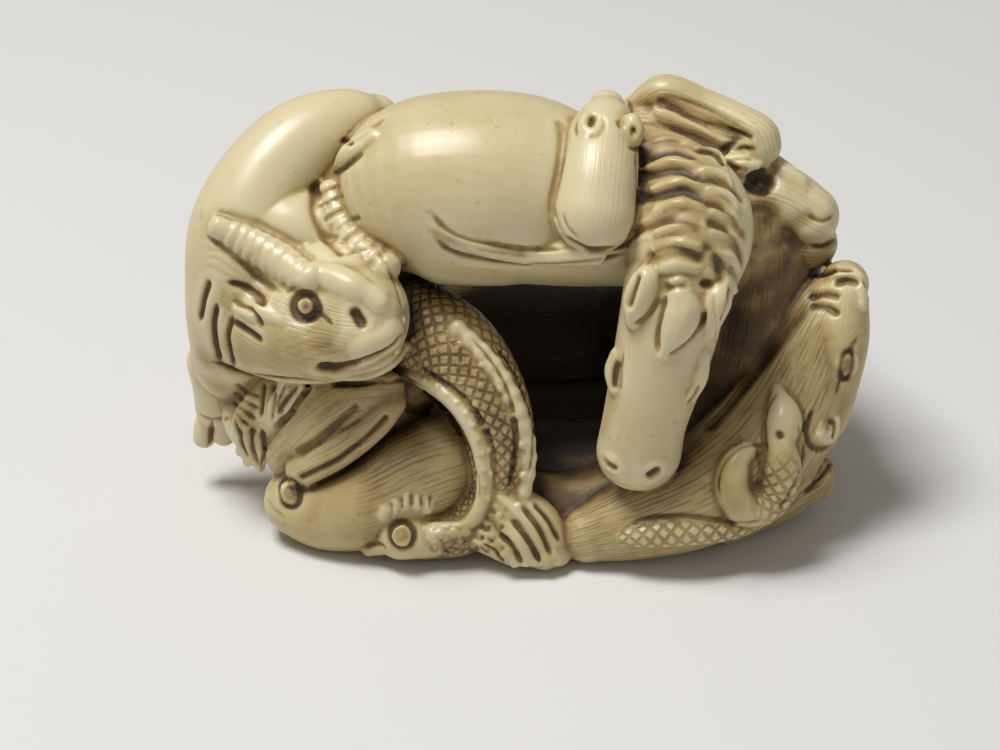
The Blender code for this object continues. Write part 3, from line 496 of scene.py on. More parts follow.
def hiddenRelief(block, skin):
    # limbs, tail, ears and eyes of the animals on the back
    current.clear()
    current.update(hair=0.3)
    foreLeg = [(8.6, 9.4, 20.6, 2.4), (7.4, 10.8, 17.6, 1.7), (7.6, 10.9, 14.6, 1.3),
                (7.0, 11.6, 13.4, 1.25)]
    hindLeg = [(-9.6, 8.8, 20.6, 2.9), (-7.6, 10.0, 18.0, 2.0), (-9.2, 10.2, 15.2, 1.35),
                (-9.8, 10.4, 12.6, 1.2), (-8.8, 11.2, 11.6, 1.25)]
    tigerTail = [(-13.6, 7.4, 21.2, 1.1), (-15.6, 7.6, 18.4, 1.0), (-14.6, 8.2, 15.4, 0.95),
                  (-12.8, 9.2, 14.2, 0.9), (-12.6, 9.6, 16.2, 0.8)]
    for points in (foreLeg, hindLeg, tigerTail):
        addForm(block, points, facing=behind)
    for side in (-1, 1):
        addForm(block, [(12.2 + side * 2.9, 9.2, 22.0, 1.15)], flat=0.6, facing=behind)
        addForm(block, [(12.2 + side * 2.9, 10.4, 17.4, 1.3),
                         (12.2 + side * 1.6, 11.2, 16.2, 0.9)], facing=behind)
        addForm(block, [(13.3 + side * 2.9, 9.4, 11.0, 0.95)], flat=0.6, facing=behind)
        button(block, skin, back, -12.6 + side * 1.6, 21.4, counts["eyeRadius"], counts["eyeHeight"])
        button(block, skin, back, -13.7 + side * 1.1, 13.9, counts["eyeRadius"], counts["eyeHeight"])
    limbs = [[(-0.4, 9.2, 2.2), (1.2, 6.2, 1.6), (-0.6, 3.6, 1.2), (-2.6, 3.2, 0.9)],
             [(14.6, 9.6, 2.9), (11.4, 6.6, 2.0), (12.4, 4.0, 1.2), (9.6, 3.2, 0.9)]]
    for limb in limbs:
        laid(block, skin, back, limb, sink=0.35)
    laid(block, skin, back, [(-2.8, 11.0, 0.7), (-3.4, 9.8, 1.1), (-2.6, 8.6, 0.6)], sink=0.1)
    laid(block, skin, back, [(-6.4, 5.2, 0.35), (-6.8, 6.2, 0.4), (-6.5, 7.0, 0.25)], sink=-0.2)
    button(block, skin, back, -5.4, 8.4, counts["eyeRadius"], counts["eyeHeight"])
    ridge = [(15.0, 11.6, 0.6), (9.0, 12.9, 0.7), (3.0, 12.4, 0.75), (-1.6, 12.0, 0.6)]
    laid(block, skin, back, ridge, sink=0.3, ribs=counts["spineKnobs"], ribDepth=0.12)


def eyes(block, skin):
    current.clear()
    current.update(hair=0)
    places = ((-14.9, 17.7), (-16.1, 5.3), (-8.5, 2.4), (21.3, 13.8))
    for across, rise in places:
        button(block, skin, front, across, rise, counts["eyeRadius"], counts["eyeHeight"])

def addMasses(block):
    for masses in (horseMasses, ratMasses, goatMasses, dragonMasses, roosterMasses, rabbitMasses,
                   dogMasses, oxMasses, hiddenMasses, innerMasses):
        masses(block)


def addRelief(block, skin):
    for relief in (horseRelief, ratRelief, goatRelief, featherRelief, dragonRelief, roosterRelief,
                   snakeRelief, dogRelief, oxRelief, hiddenRelief, eyes):
        relief(block, skin)



# One skin round all the forms
skinSizes = {"grain": 0.155, "steps": 4,
             "softening": 0.5, "faces": 190000}


def melt(block):
    mesh = bpy.data.meshes.new("forms")
    block.to_mesh(mesh)
    rough = bpy.data.objects.new("forms", mesh)
    bpy.context.scene.collection.objects.link(rough)
    remesh = rough.modifiers.new("one skin", "REMESH")
    remesh.mode = "VOXEL"
    remesh.voxel_size = skinSizes["grain"]
    soften = rough.modifiers.new("soften", "SMOOTH")
    soften.factor = skinSizes["softening"]
    soften.iterations = skinSizes["steps"]
    graph = bpy.context.evaluated_depsgraph_get()
    skin = bpy.data.meshes.new_from_object(rough.evaluated_get(graph))
    bpy.data.objects.remove(rough)
    return skin


block = bmesh.new()
addMasses(block)
massSkin = BVHTree.FromBMesh(block)
addRelief(block, massSkin)
formTree = BVHTree.FromBMesh(block)
mesh = melt(block)
block.free()
print("skin", len(mesh.vertices), "corners,", len(forms), "forms")

solid = bmesh.new()
solid.from_mesh(mesh)
skinTree = BVHTree.FromBMesh(solid)
solid.free()

places = cornersOf(mesh)
normals = cornersOf(mesh, "normal")
depth = np.zeros(len(places))     # how deep the graver has gone, in millimetres
relief = np.zeros(len(places))    # broad swellings and hollows
stain = np.zeros(len(places))     # brown left in the cuts
edges = np.empty(len(mesh.edges) * 2, int)
mesh.edges.foreach_get("vertices", edges)
edges = edges.reshape(-1, 2)
links = np.bincount(edges.ravel(), minlength=len(places))


def spread(values, steps):
    for _ in range(steps):
        total = (np.bincount(edges[:, 0], values[edges[:, 1]], len(places))
                 + np.bincount(edges[:, 1], values[edges[:, 0]], len(places)))
        values = 0.5 * values + 0.5 * total / np.maximum(links, 1)
    return values


# Where each corner of the skin lies on its form: along it, round it, and how hairy it is there
facesEach = ball["sides"] * ball["rings"]
owner = np.array([formTree.find_nearest(Vector(p))[2] // facesEach for p in places])
pattern = np.zeros((len(places), 3))
hair = np.zeros(len(places))
scale = np.zeros(len(places))
# grime per corner: brown grime plus painted shade on the low and inner forms and in shaded places
grime = np.zeros(len(places))
for number, form in enumerate(forms):
    mine = np.nonzero(owner == number)[0]
    if len(mine) == 0:
        continue
    line = form["line"]
    gaps = np.linalg.norm(places[mine, None] - line[None, ::2, :3], axis=2)
    inside = form["lengths"][::2][gaps.argmin(1)]
    tangent, side, outward = frameOn(form, inside)
    away = places[mine] - alongLine(line, form["lengths"], inside)
    inside = inside + (away * tangent).sum(1)
    angle = np.arctan2((away * side).sum(1), (away * outward).sum(1))
    girth = np.interp(inside, form["lengths"], line[:, 3])
    turn = math.radians(form.get("hairTurn", 0))
    along, around = inside, angle * line[:, 3].mean()
    pattern[mine, 0] = along * math.cos(turn) + around * math.sin(turn)
    pattern[mine, 1] = around * math.cos(turn) - along * math.sin(turn)
    if form.get("scales", 0):
        size = form["scaleSize"]
        pattern[mine, 0] = (along + around) / size
        pattern[mine, 1] = (along - around) / size
    pattern[mine, 2] = number
    start, end = form.get("dressed", (-1, 2))      # shares of the length between which it is dressed
    share = inside / form["total"]
    dressed = np.clip((share - start) * 6, 0, 1) * np.clip((end - share) * 6, 0, 1)
    hair[mine] = form.get("hair", 0) * dressed
    scale[mine] = form.get("scales", 0) * dressed
    grime[mine] = form.get("grime", 0)
border = np.zeros(len(places))
crossing = edges[owner[edges[:, 0]] != owner[edges[:, 1]]].ravel()
border[crossing] = 1
border = np.clip(spread(border, 3) * 2.2, 0, 1)
hair *= 1 - border
scale *= 1 - border
grime = spread(grime, 30)
print("forms traced")


# Graver's cuts. Each line is drawn on the view's plane and falls on the surface.
graver = {"bite": 0.85, "brown": 0.72}   # shares of the depth and stain written for each cut


def fallen(view, points):
    line = smoothLine([(*p[:2], 0, p[2] if len(p) > 2 else 1) for p in points])
    hits, widths = [], []
    for across, rise, _, width in line:
        place = touch(skinTree, view, across, rise)[0]
        if place is not None:
            hits.append(place)
            widths.append(width)
    return np.array(hits), np.array(widths)


def cut(view, halfWidth, deep, points, brown=1.0, taper=True, bowl=2.0):
    hits, widths = fallen(view, points)
    if len(hits) == 0:
        return
    if taper and len(hits) > 3:
        run = np.linspace(0, 1, len(hits))
        widths = widths * np.clip(np.minimum(run, 1 - run) * 6 + 0.35, 0, 1)
    widest = halfWidth * widths.max()
    near = ((places > hits.min(0) - widest) & (places < hits.max(0) + widest)).all(1)
    chosen = np.nonzero(near)[0]
    if len(chosen) == 0:
        return
    gaps = np.linalg.norm(places[chosen, None] - hits[None], axis=2) / (halfWidth * widths)
    nearest = gaps.argmin(1)
    share = np.clip(1 - gaps[np.arange(len(chosen)), nearest] ** bowl, 0, 1)
    depth[chosen] = np.maximum(depth[chosen], graver["bite"] * deep * widths[nearest] * share)
    stain[chosen] = np.maximum(stain[chosen], graver["brown"] * brown * np.clip(share * 1.2, 0, 1))


def pressed(view, halfWidth, points):
    hits, widths = fallen(view, points)
    if len(hits) == 0:
        return np.zeros(0, int), np.zeros(0)
    near = ((places > hits.min(0) - halfWidth) & (places < hits.max(0) + halfWidth)).all(1)
    chosen = np.nonzero(near)[0]
    gaps = np.linalg.norm(places[chosen, None] - hits[None], axis=2).min(1) / halfWidth
    return chosen, np.clip(1 - gaps**2, 0, 1) ** 2


def hollow(view, halfWidth, deep, points, brown=0.0):
    chosen, share = pressed(view, halfWidth, points)
    relief[chosen] -= deep * share
    stain[chosen] = np.maximum(stain[chosen], brown * share)


def swell(view, halfWidth, high, points):
    chosen, share = pressed(view, halfWidth, points)
    relief[chosen] += high * share


def ring(view, across, rise, wide, tall, tilt, halfWidth, deep, brown=1.0):
    tilt = math.radians(tilt)
    points = []
    for k in range(13):
        a = 2 * math.pi * k / 12
        x, y = wide * math.cos(a), tall * math.sin(a)
        points.append((across + x * math.cos(tilt) - y * math.sin(tilt),
                       rise + x * math.sin(tilt) + y * math.cos(tilt)))
    cut(view, halfWidth, deep, points, brown, taper=False)



def tint(view, points, halfWidth, amount):
    chosen, share = pressed(view, halfWidth, points)
    grime[chosen] = np.maximum(grime[chosen], amount * share)


def eyeRings(view, across, rise, wide, tall, tilt, rings, pupil):
    for share, halfWidth, deep in rings:
        ring(view, across, rise, wide * share, tall * share, tilt, halfWidth, deep, 1.25)
    hollow(view, 1.05 * min(wide, tall), 0.02, [(across - 0.02, rise), (across + 0.02, rise)], 0.85)
    cut(view, pupil, 0.16, [(across - 0.03, rise + 0.03), (across + 0.04, rise - 0.04)], 1.2)


twoRings = ((1.0, 0.21, 0.28), (0.46, 0.12, 0.18))

# Goat: brow, cheek and muzzle
hollow(front, 1.5, 0.30, [(-15.31, 17.38), (-14.51, 16.84)])
hollow(front, 1.6, 0.22, [(-13.30, 16.98), (-13.84, 15.37)])
hollow(front, 1.2, 0.30, [(-17.85, 18.72), (-18.65, 18.18)])
swell(front, 1.5, 0.22, [(-15.31, 19.79), (-13.64, 19.92), (-11.97, 19.25)])
swell(front, 1.3, 0.24, [(-9.96, 18.45), (-9.43, 17.38)])
swell(front, 1.4, 0.14, [(-11.97, 15.37), (-9.96, 15.78)])
eyeRings(front, -15.04, 17.71, 0.86, 0.92, 0, ((1.0, 0.30, 0.38),), 0.22)
cut(front, 0.15, 0.20, [(-16.24, 18.58), (-15.78, 18.98), (-15.04, 19.12)], 0.8)
cut(front, 0.15, 0.22, [(-14.10, 17.31), (-13.70, 16.84), (-13.24, 16.44)], 0.8)
hollow(front, 0.75, 0.12, [(-11.50, 17.11), (-11.23, 16.71)], 0.35)
cut(front, 0.46, 0.50, [(-11.70, 17.38), (-11.43, 16.91), (-11.16, 16.51)], 1.2)
cut(front, 0.34, 0.52, [(-14.17, 13.50, 1.6), (-13.50, 13.57, 1.5), (-12.50, 13.70), (-11.30, 13.97), (-10.09, 14.44),
                        (-8.96, 15.11), (-8.22, 16.04)], 1.25)
cut(front, 0.18, 0.24, [(-12.30, 12.90), (-10.96, 13.10), (-9.63, 13.57), (-8.62, 14.37), (-8.16, 15.31)], 0.7)
cut(front, 0.14, 0.18, [(-10.23, 21.66), (-9.43, 20.32), (-8.82, 18.85), (-8.42, 17.38)], 0.6)
for rise in (0, 1, 2, 3, 4):
    cut(front, 0.09, 0.08, [(-16.9 + 0.5 * rise, 15.3 - 0.42 * rise), (-14.4 + 0.7 * rise, 16.0 - 0.4 * rise)], 0.3)
# goat's horns
cut(front, 0.24, 0.24, [(-21.59, 22.46), (-20.52, 21.66), (-19.12, 20.52), (-17.85, 19.45), (-16.64, 18.65)], 0.6)
hollow(front, 0.5, 0.14, [(-20.66, 23.93), (-19.05, 23.60), (-17.45, 22.93), (-15.84, 21.99), (-14.64, 20.99)], 0.15)
for k in range(counts["hornRibs"]):
    share = (k + 0.5) / counts["hornRibs"]
    across, rise = -21.1 + 5.6 * share, 23.2 - 3.4 * share
    cut(front, 0.16, 0.10, [(across + 0.40, rise + 0.75), (across + 0.10, rise + 0.1),
                            (across - 0.40, rise - 0.7)], 0.22)
hollow(front, 0.55, 0.22, [(-14.24, 25.67), (-14.44, 24.33), (-14.04, 22.99), (-13.30, 21.93), (-12.63, 21.32)], 0.45)
for a, b in (((-14.10, 25.13), (-12.63, 25.74)), ((-14.10, 24.33), (-12.37, 25.07)), ((-13.70, 23.40), (-12.30, 24.26)),
             ((-13.03, 22.79), (-11.30, 23.66)), ((-12.57, 21.93), (-11.43, 22.66)), ((-12.23, 21.12), (-10.90, 21.52))):
    cut(front, 0.14, 0.20, [a, ((a[0] + b[0]) / 2, (a[1] + b[1]) / 2 + 0.10), b], 0.75)
cut(front, 0.20, 0.20, [(-11.56, 23.60), (-11.36, 23.60)], 0.8)
# ear and beard of the goat
for line in ([(-21.39, 19.45), (-21.79, 18.18), (-22.06, 16.71)], [(-20.86, 17.91), (-21.12, 16.51), (-20.99, 15.17), (-20.66, 13.90)],
             [(-19.85, 17.11), (-20.19, 15.84), (-20.05, 14.84), (-19.79, 13.70)], [(-20.12, 19.32), (-19.05, 19.05), (-18.25, 18.52), (-17.65, 17.71)],
             [(-19.72, 18.05), (-18.92, 17.65), (-18.25, 16.98), (-17.85, 16.38)], [(-19.85, 16.71), (-18.98, 16.18), (-17.85, 15.37)]):
    cut(front, 0.30, 0.42, line, 0.95)
for line in ([(-21.72, 21.79), (-20.52, 21.26), (-19.32, 20.32)], [(-21.46, 21.12), (-20.25, 20.59), (-19.05, 19.52)],
             [(-21.59, 20.45), (-20.52, 20.05), (-19.59, 19.39)], [(-20.39, 18.85), (-20.52, 18.05), (-20.12, 17.51)]):
    cut(front, 0.10, 0.10, line, 0.4)
# goat's haunch, leg and hoof
cut(front, 0.20, 0.24, [(-13.30, 26.54), (-12.50, 26.87), (-11.63, 27.54), (-11.10, 28.01)], 0.75)
cut(front, 0.26, 0.34, [(-12.30, 28.74), (-11.97, 28.68)], 0.9)
hollow(front, 0.6, 0.16, [(-11.83, 28.74), (-11.03, 29.28), (-10.09, 30.01)], 0.25)
cut(front, 0.30, 0.40, [(-21.19, 14.04), (-19.65, 13.44), (-17.85, 13.03), (-15.31, 12.77), (-12.30, 12.57), (-9.63, 12.70)])
cut(front, 0.18, 0.25, [(-22.13, 10.49), (-21.32, 10.16), (-19.99, 10.23)], 0.8)
cut(front, 0.18, 0.32, [(-21.19, 10.09), (-21.26, 9.22), (-21.32, 8.22)])

# Tail feathers beside the goat's leg
for a, b, c in (((-19.59, 12.57), (-18.92, 12.03), (-17.85, 11.63)), ((-19.72, 12.03), (-18.98, 11.36), (-17.98, 10.83)),
                ((-19.79, 11.36), (-19.25, 10.83), (-18.25, 10.16)), ((-19.72, 10.70), (-19.32, 10.16), (-18.65, 9.63))):
    cut(front, 0.14, 0.25, [a, b, c])
for line in ([(-17.71, 12.70), (-17.85, 11.50), (-17.98, 10.29)], [(-16.98, 12.57), (-17.11, 11.36), (-17.18, 9.89)],
             [(-14.51, 12.43), (-15.31, 11.50), (-16.11, 10.36), (-17.05, 9.56)], [(-15.44, 12.43), (-16.18, 11.50), (-16.71, 10.43)],
             [(-16.24, 12.43), (-16.64, 11.63), (-16.84, 10.70)], [(-19.85, 10.29), (-19.52, 9.36), (-19.32, 8.29)],
             [(-19.32, 9.49), (-19.25, 8.56), (-18.78, 7.49)], [(-18.45, 9.63), (-18.52, 8.42), (-18.11, 6.95)],
             [(-17.85, 9.49), (-17.71, 8.29), (-17.85, 6.55)]):
    cut(front, 0.20, 0.36, line)

# Horse: locks of the mane, left and right of the crest
for line in ([(8.22, 28.74), (8.89, 28.94), (9.83, 28.94)],
             [(8.42, 27.74), (9.29, 28.01), (10.09, 28.01), (10.76, 27.67)],
             [(7.35, 26.40), (8.42, 26.54), (9.43, 26.80), (10.43, 26.74), (11.16, 26.34)],
             [(7.42, 24.93), (8.42, 25.07), (9.43, 25.33), (10.43, 25.47), (11.23, 25.07)],
             [(6.95, 22.73), (8.09, 23.06), (9.09, 23.40), (10.09, 23.40), (11.16, 23.06)],
             [(7.82, 20.72), (8.42, 21.32), (9.29, 21.59), (10.23, 21.46), (11.30, 20.99)],
             [(11.43, 28.21), (12.23, 28.07), (12.90, 27.67), (13.50, 27.01)],
             [(11.56, 26.27), (12.50, 26.14), (13.44, 25.67), (14.24, 24.87)],
             [(11.83, 24.67), (12.77, 24.40), (13.70, 23.66), (14.44, 22.46)],
             [(12.23, 23.26), (13.24, 22.79), (13.97, 21.86), (14.37, 20.59)],
             [(11.83, 21.66), (12.30, 21.39), (12.63, 20.66), (12.77, 19.79)]):
    hollow(front, 0.66, 0.17, line, 0.46)
    cut(front, 0.16, 0.11, line, 0.45)
for line in ([(6.82, 21.66), (7.42, 21.99), (8.09, 22.19)], [(7.49, 25.80), (8.42, 25.87), (9.29, 26.07)],
             [(7.49, 24.20), (8.42, 24.33), (9.29, 24.53)], [(8.09, 27.07), (9.02, 27.34), (9.83, 27.34)],
             [(8.22, 22.19), (9.29, 22.46), (10.36, 22.33)], [(12.50, 25.27), (13.44, 24.67), (14.10, 23.86)],
             [(12.77, 21.72), (13.30, 21.06), (13.57, 20.19)], [(8.76, 24.00), (9.69, 24.33), (10.76, 24.20)],
             [(8.89, 26.00), (9.83, 26.20), (10.76, 25.94)]):
    cut(front, 0.09, 0.10, line, 0.35)
# horse's ears and forelock
hollow(front, 0.5, 0.45, [(7.15, 19.65), (6.89, 18.72), (6.62, 17.78)], 0.7)
cut(front, 0.16, 0.24, [(6.82, 16.44), (7.49, 16.78), (8.22, 17.45), (8.76, 18.32)], 0.8)
cut(front, 0.36, 0.34, [(9.02, 18.98), (9.69, 19.05), (10.63, 19.18)], 0.8)
cut(front, 0.30, 0.40, [(11.63, 19.25), (11.97, 19.18)], 1.0)
cut(front, 0.20, 0.38, [(9.16, 18.45), (8.82, 17.11), (8.56, 15.78), (8.62, 14.57)], 0.7)
cut(front, 0.20, 0.38, [(11.83, 17.51), (11.30, 16.18), (10.36, 15.11), (9.29, 14.37)], 0.8)
cut(front, 0.16, 0.24, [(12.30, 18.45), (12.37, 17.38), (12.57, 16.31), (12.50, 15.11)], 0.6)
hollow(front, 0.40, 0.26, [(13.50, 18.85), (13.37, 17.91), (12.97, 16.84)], 0.35)
for line in ([(10.36, 18.18), (9.96, 16.51), (9.29, 14.97)], [(11.03, 18.05), (10.76, 16.71), (9.83, 15.17)]):
    cut(front, 0.08, 0.08, line, 0.2)
# horse's face
cut(front, 0.22, 0.36, [(5.95, 14.04), (5.75, 13.24), (5.68, 12.17)])
cut(front, 0.11, 0.18, [(6.28, 14.71), (6.15, 13.37), (6.08, 12.03)], 0.6)
cut(front, 0.24, 0.34, [(11.43, 12.43), (11.16, 11.76), (10.70, 11.16)], 0.8)
cut(front, 0.10, 0.12, [(11.43, 13.24), (10.90, 12.37), (10.36, 11.70)], 0.4)
swell(front, 0.9, 0.20, [(5.55, 7.35), (5.82, 6.82)])
swell(front, 0.9, 0.20, [(8.49, 6.82), (8.22, 6.28)])
hollow(front, 0.55, 0.14, [(5.15, 7.29), (5.61, 7.02)], 0.5)
hollow(front, 0.60, 0.14, [(8.09, 6.42), (8.56, 6.75)], 0.5)
cut(front, 0.26, 0.30, [(5.21, 7.22), (5.55, 7.02), (5.88, 6.95)], 1.0)
cut(front, 0.30, 0.42, [(7.95, 6.35), (8.36, 6.68), (8.62, 6.82)])
cut(front, 0.12, 0.12, [(4.55, 7.09), (5.01, 6.42), (5.95, 5.88), (6.89, 5.68)], 0.35)
# horse's folded leg and rump
cut(front, 0.26, 0.36, [(-6.42, 22.33), (-5.28, 21.39), (-3.28, 20.86), (-0.60, 20.52), (2.07, 20.45), (4.75, 20.79), (6.48, 21.26)])
hollow(front, 0.8, 0.20, [(-6.22, 22.73), (-4.95, 21.93), (-2.94, 21.39), (-0.60, 21.12)], 0.25)
cut(front, 0.18, 0.26, [(-6.62, 24.13), (-5.82, 23.13), (-4.48, 22.33), (-1.94, 21.79), (0.74, 21.52), (3.07, 21.66)], 0.7)
cut(front, 0.10, 0.14, [(-3.94, 21.52), (-1.94, 21.19), (0.74, 20.99), (4.08, 21.19)], 0.35)
for across, rise in ((-3.41, 21.39), (-2.61, 21.26), (-1.74, 21.12), (-0.87, 21.06)):
    cut(front, 0.09, 0.10, [(across - 0.2, rise + 0.2), (across + 0.2, rise - 0.2)], 0.45)

# Rat
hollow(front, 0.5, 0.35, [(4.14, 30.01), (4.21, 30.28)], 0.4)
cut(front, 0.20, 0.32, [(4.28, 30.61), (4.21, 30.35), (4.01, 30.01)], 0.85)
cut(front, 0.15, 0.22, [(4.88, 30.48), (5.01, 29.81), (4.61, 29.21), (3.94, 29.08)], 0.7)
cut(front, 0.14, 0.20, [(3.21, 30.08), (3.07, 29.61), (3.21, 29.14)], 0.6)
cut(front, 0.30, 0.55, [(6.95, 29.61), (7.02, 29.28)])
cut(front, 0.20, 0.30, [(6.02, 30.15), (6.08, 29.75)], 0.9)
cut(front, 0.14, 0.22, [(6.68, 28.34), (7.15, 28.21), (7.55, 28.34)], 0.8)
cut(front, 0.16, 0.20, [(6.28, 31.82), (6.62, 31.28), (6.89, 30.61)], 0.35)
cut(front, 0.26, 0.36, [(2.21, 22.46), (3.07, 21.93), (4.08, 21.52), (5.08, 21.52), (6.08, 21.72), (7.02, 22.46)])
hollow(front, 0.5, 0.16, [(2.07, 29.95), (2.14, 28.54), (1.94, 26.54), (1.60, 24.53), (1.94, 22.99)], 0.22)
cut(front, 0.18, 0.26, [(7.15, 28.07), (7.22, 26.20), (7.22, 24.53), (7.02, 22.99)], 0.6)
cut(front, 0.16, 0.22, [(2.21, 23.93), (2.54, 22.99), (3.28, 22.19)], 0.7)

# Ox: horn, ear, eye and muzzle
hollow(front, 0.6, 0.22, [(8.89, 31.28), (10.09, 30.88), (11.56, 30.21), (13.44, 29.48), (14.64, 29.01)], 0.28)
cut(front, 0.16, 0.20, [(9.02, 31.15), (10.23, 30.75), (11.56, 30.15), (13.44, 29.41), (14.91, 29.01)], 0.7)
cut(front, 0.14, 0.20, [(8.76, 31.89), (10.09, 31.55), (11.43, 31.15), (13.10, 30.28), (14.44, 29.55)], 0.5)
cut(front, 0.16, 0.24, [(9.83, 30.68), (11.30, 30.01), (12.90, 29.14), (14.24, 28.81)], 0.6)
cut(front, 0.26, 0.30, [(13.90, 28.81), (13.24, 28.34), (12.83, 27.74), (13.10, 27.14)], 0.8)
for line in ([(13.90, 28.21), (14.57, 28.28), (15.17, 28.21)], [(13.70, 27.47), (14.37, 27.61), (14.91, 27.47)],
             [(13.57, 26.87), (14.10, 26.87), (14.64, 26.80)]):
    cut(front, 0.16, 0.22, line, 0.65)
hollow(front, 1.15, 0.55, [(15.31, 26.34), (15.64, 26.07)], 0.85)
cut(front, 0.30, 0.30, [(14.44, 25.94), (14.77, 25.53), (15.31, 25.27), (15.98, 25.40)], 1.0)
swell(front, 0.42, 0.25, [(15.44, 26.07), (15.57, 26.00)])
swell(front, 1.3, 0.10, [(19.45, 25.00), (19.99, 24.47)])
hollow(front, 1.1, 0.20, [(18.52, 23.40), (17.71, 22.99), (16.78, 22.19)], 0.22)
cut(front, 0.20, 0.28, [(18.72, 23.86), (19.25, 23.46), (19.85, 23.46), (20.39, 23.86)], 0.7)
cut(front, 0.22, 0.30, [(20.66, 22.26), (20.12, 21.99), (19.45, 21.79), (18.85, 21.86)], 0.8)
swell(front, 1.5, 0.26, [(19.45, 21.39), (18.78, 20.72)])
for line in ([(15.57, 24.53), (16.11, 24.06), (15.98, 23.40)], [(15.24, 23.86), (15.57, 22.86), (15.44, 21.79)],
             [(16.44, 21.52), (16.11, 20.45), (15.44, 19.25)], [(17.45, 21.93), (17.18, 20.72), (16.51, 19.39)]):
    hollow(front, 1.0, 0.16, line, 0.30)

# Dog: brow, eye, lip and coat
for line in ([(19.45, 19.79), (20.52, 20.19), (21.59, 20.25)], [(18.78, 18.52), (19.59, 18.58), (20.52, 18.38)],
             [(18.92, 17.78), (19.72, 17.71), (20.52, 17.31)], [(20.66, 19.32), (21.32, 19.45), (21.86, 19.32)]):
    hollow(front, 0.42, 0.32, line, 0.55)
cut(front, 0.20, 0.30, [(22.39, 19.52), (22.66, 18.85), (22.73, 18.05)], 0.8)
eyeRings(front, 21.26, 13.77, 0.44, 0.98, -12, ((1.0, 0.20, 0.27), (0.5, 0.11, 0.16)), 0.16)
cut(front, 0.12, 0.20, [(21.99, 15.71), (21.59, 15.04), (21.26, 14.64)], 0.7)
cut(front, 0.12, 0.20, [(20.79, 12.83), (20.66, 12.30), (20.52, 11.83)], 0.6)
cut(front, 0.22, 0.30, [(18.98, 10.90), (18.78, 10.16), (18.58, 9.22), (18.85, 8.36), (19.52, 8.16), (20.25, 8.42)], 0.8)
cut(front, 0.22, 0.36, [(19.99, 10.09), (20.39, 9.96), (20.52, 9.36), (20.32, 8.76)])
swell(front, 0.6, 0.22, [(19.52, 9.63), (19.45, 8.96)])
cut(front, 0.20, 0.30, [(20.25, 7.82), (19.99, 6.95), (19.32, 6.02), (18.38, 5.21)], 0.8)
cut(front, 0.14, 0.20, [(18.92, 5.88), (19.32, 6.55), (19.59, 7.22)], 0.5)
for k in range(9):
    across, rise = 17.1 + 0.42 * k, 11.9 + 0.16 * k
    cut(front, 0.08, 0.10, [(across, rise), (across + 1.5, rise + 2.1), (across + 2.7, rise + 4.0)], 0.22)
hollow(front, 0.9, 0.30, [(18.92, 18.18), (16.78, 15.51), (14.44, 12.50), (12.23, 9.83)], 0.35)

# Snake
for line in ([(16.71, 12.17), (16.11, 11.23), (15.78, 10.16), (15.71, 8.82), (15.91, 8.02)],
             [(17.11, 12.17), (17.91, 11.36), (18.38, 10.43), (18.32, 9.22)],
             [(15.71, 8.36), (14.91, 8.49), (13.97, 8.22), (13.03, 7.29), (12.63, 6.02), (12.77, 4.81)],
             [(15.24, 8.22), (15.44, 7.35), (15.44, 6.28), (15.11, 5.21)],
             [(18.38, 8.82), (18.32, 7.62), (17.91, 6.15), (17.18, 4.81), (16.51, 4.01)]):
    cut(front, 0.16, 0.22, line, 0.65)
cut(front, 0.34, 0.30, [(16.64, 9.22), (16.84, 9.02)], 1.25)
cut(front, 0.16, 0.22, [(18.05, 9.76), (18.11, 9.29)], 0.8)
cut(front, 0.18, 0.22, [(6.62, 3.21), (8.09, 3.61), (10.09, 3.74), (12.10, 3.54), (14.10, 3.21), (15.98, 3.48)], 0.6)

# Rabbit: ears and eye
hollow(front, 0.50, 0.20, [(-15.31, 8.02), (-14.10, 8.82), (-12.90, 9.89), (-11.63, 10.96)], 0.20)
cut(front, 0.16, 0.20, [(-15.64, 7.55), (-14.30, 8.42), (-12.97, 9.49), (-11.97, 10.29), (-10.90, 10.96)], 0.55)
hollow(front, 0.42, 0.30, [(-15.17, 6.28), (-13.97, 6.82), (-12.77, 7.42), (-11.70, 8.22), (-10.63, 9.09),
                           (-9.56, 10.23)], 0.60)
for line in ([(-14.51, 8.16), (-13.30, 8.82), (-12.10, 9.63), (-11.16, 10.16)], [(-14.10, 7.75), (-12.90, 8.42), (-11.70, 9.22)],
             [(-14.91, 9.36), (-13.84, 10.16), (-12.50, 11.23)], [(-14.37, 10.16), (-13.30, 10.96), (-11.97, 11.76)]):
    cut(front, 0.09, 0.12, line, 0.35)
eyeRings(front, -16.04, 5.21, 0.72, 0.96, 14, twoRings, 0.20)
cut(front, 0.13, 0.20, [(-15.37, 5.88), (-15.04, 5.61), (-15.31, 5.28)], 0.7)
cut(front, 0.12, 0.18, [(-17.45, 4.81), (-17.05, 4.14), (-16.38, 3.68)], 0.5)

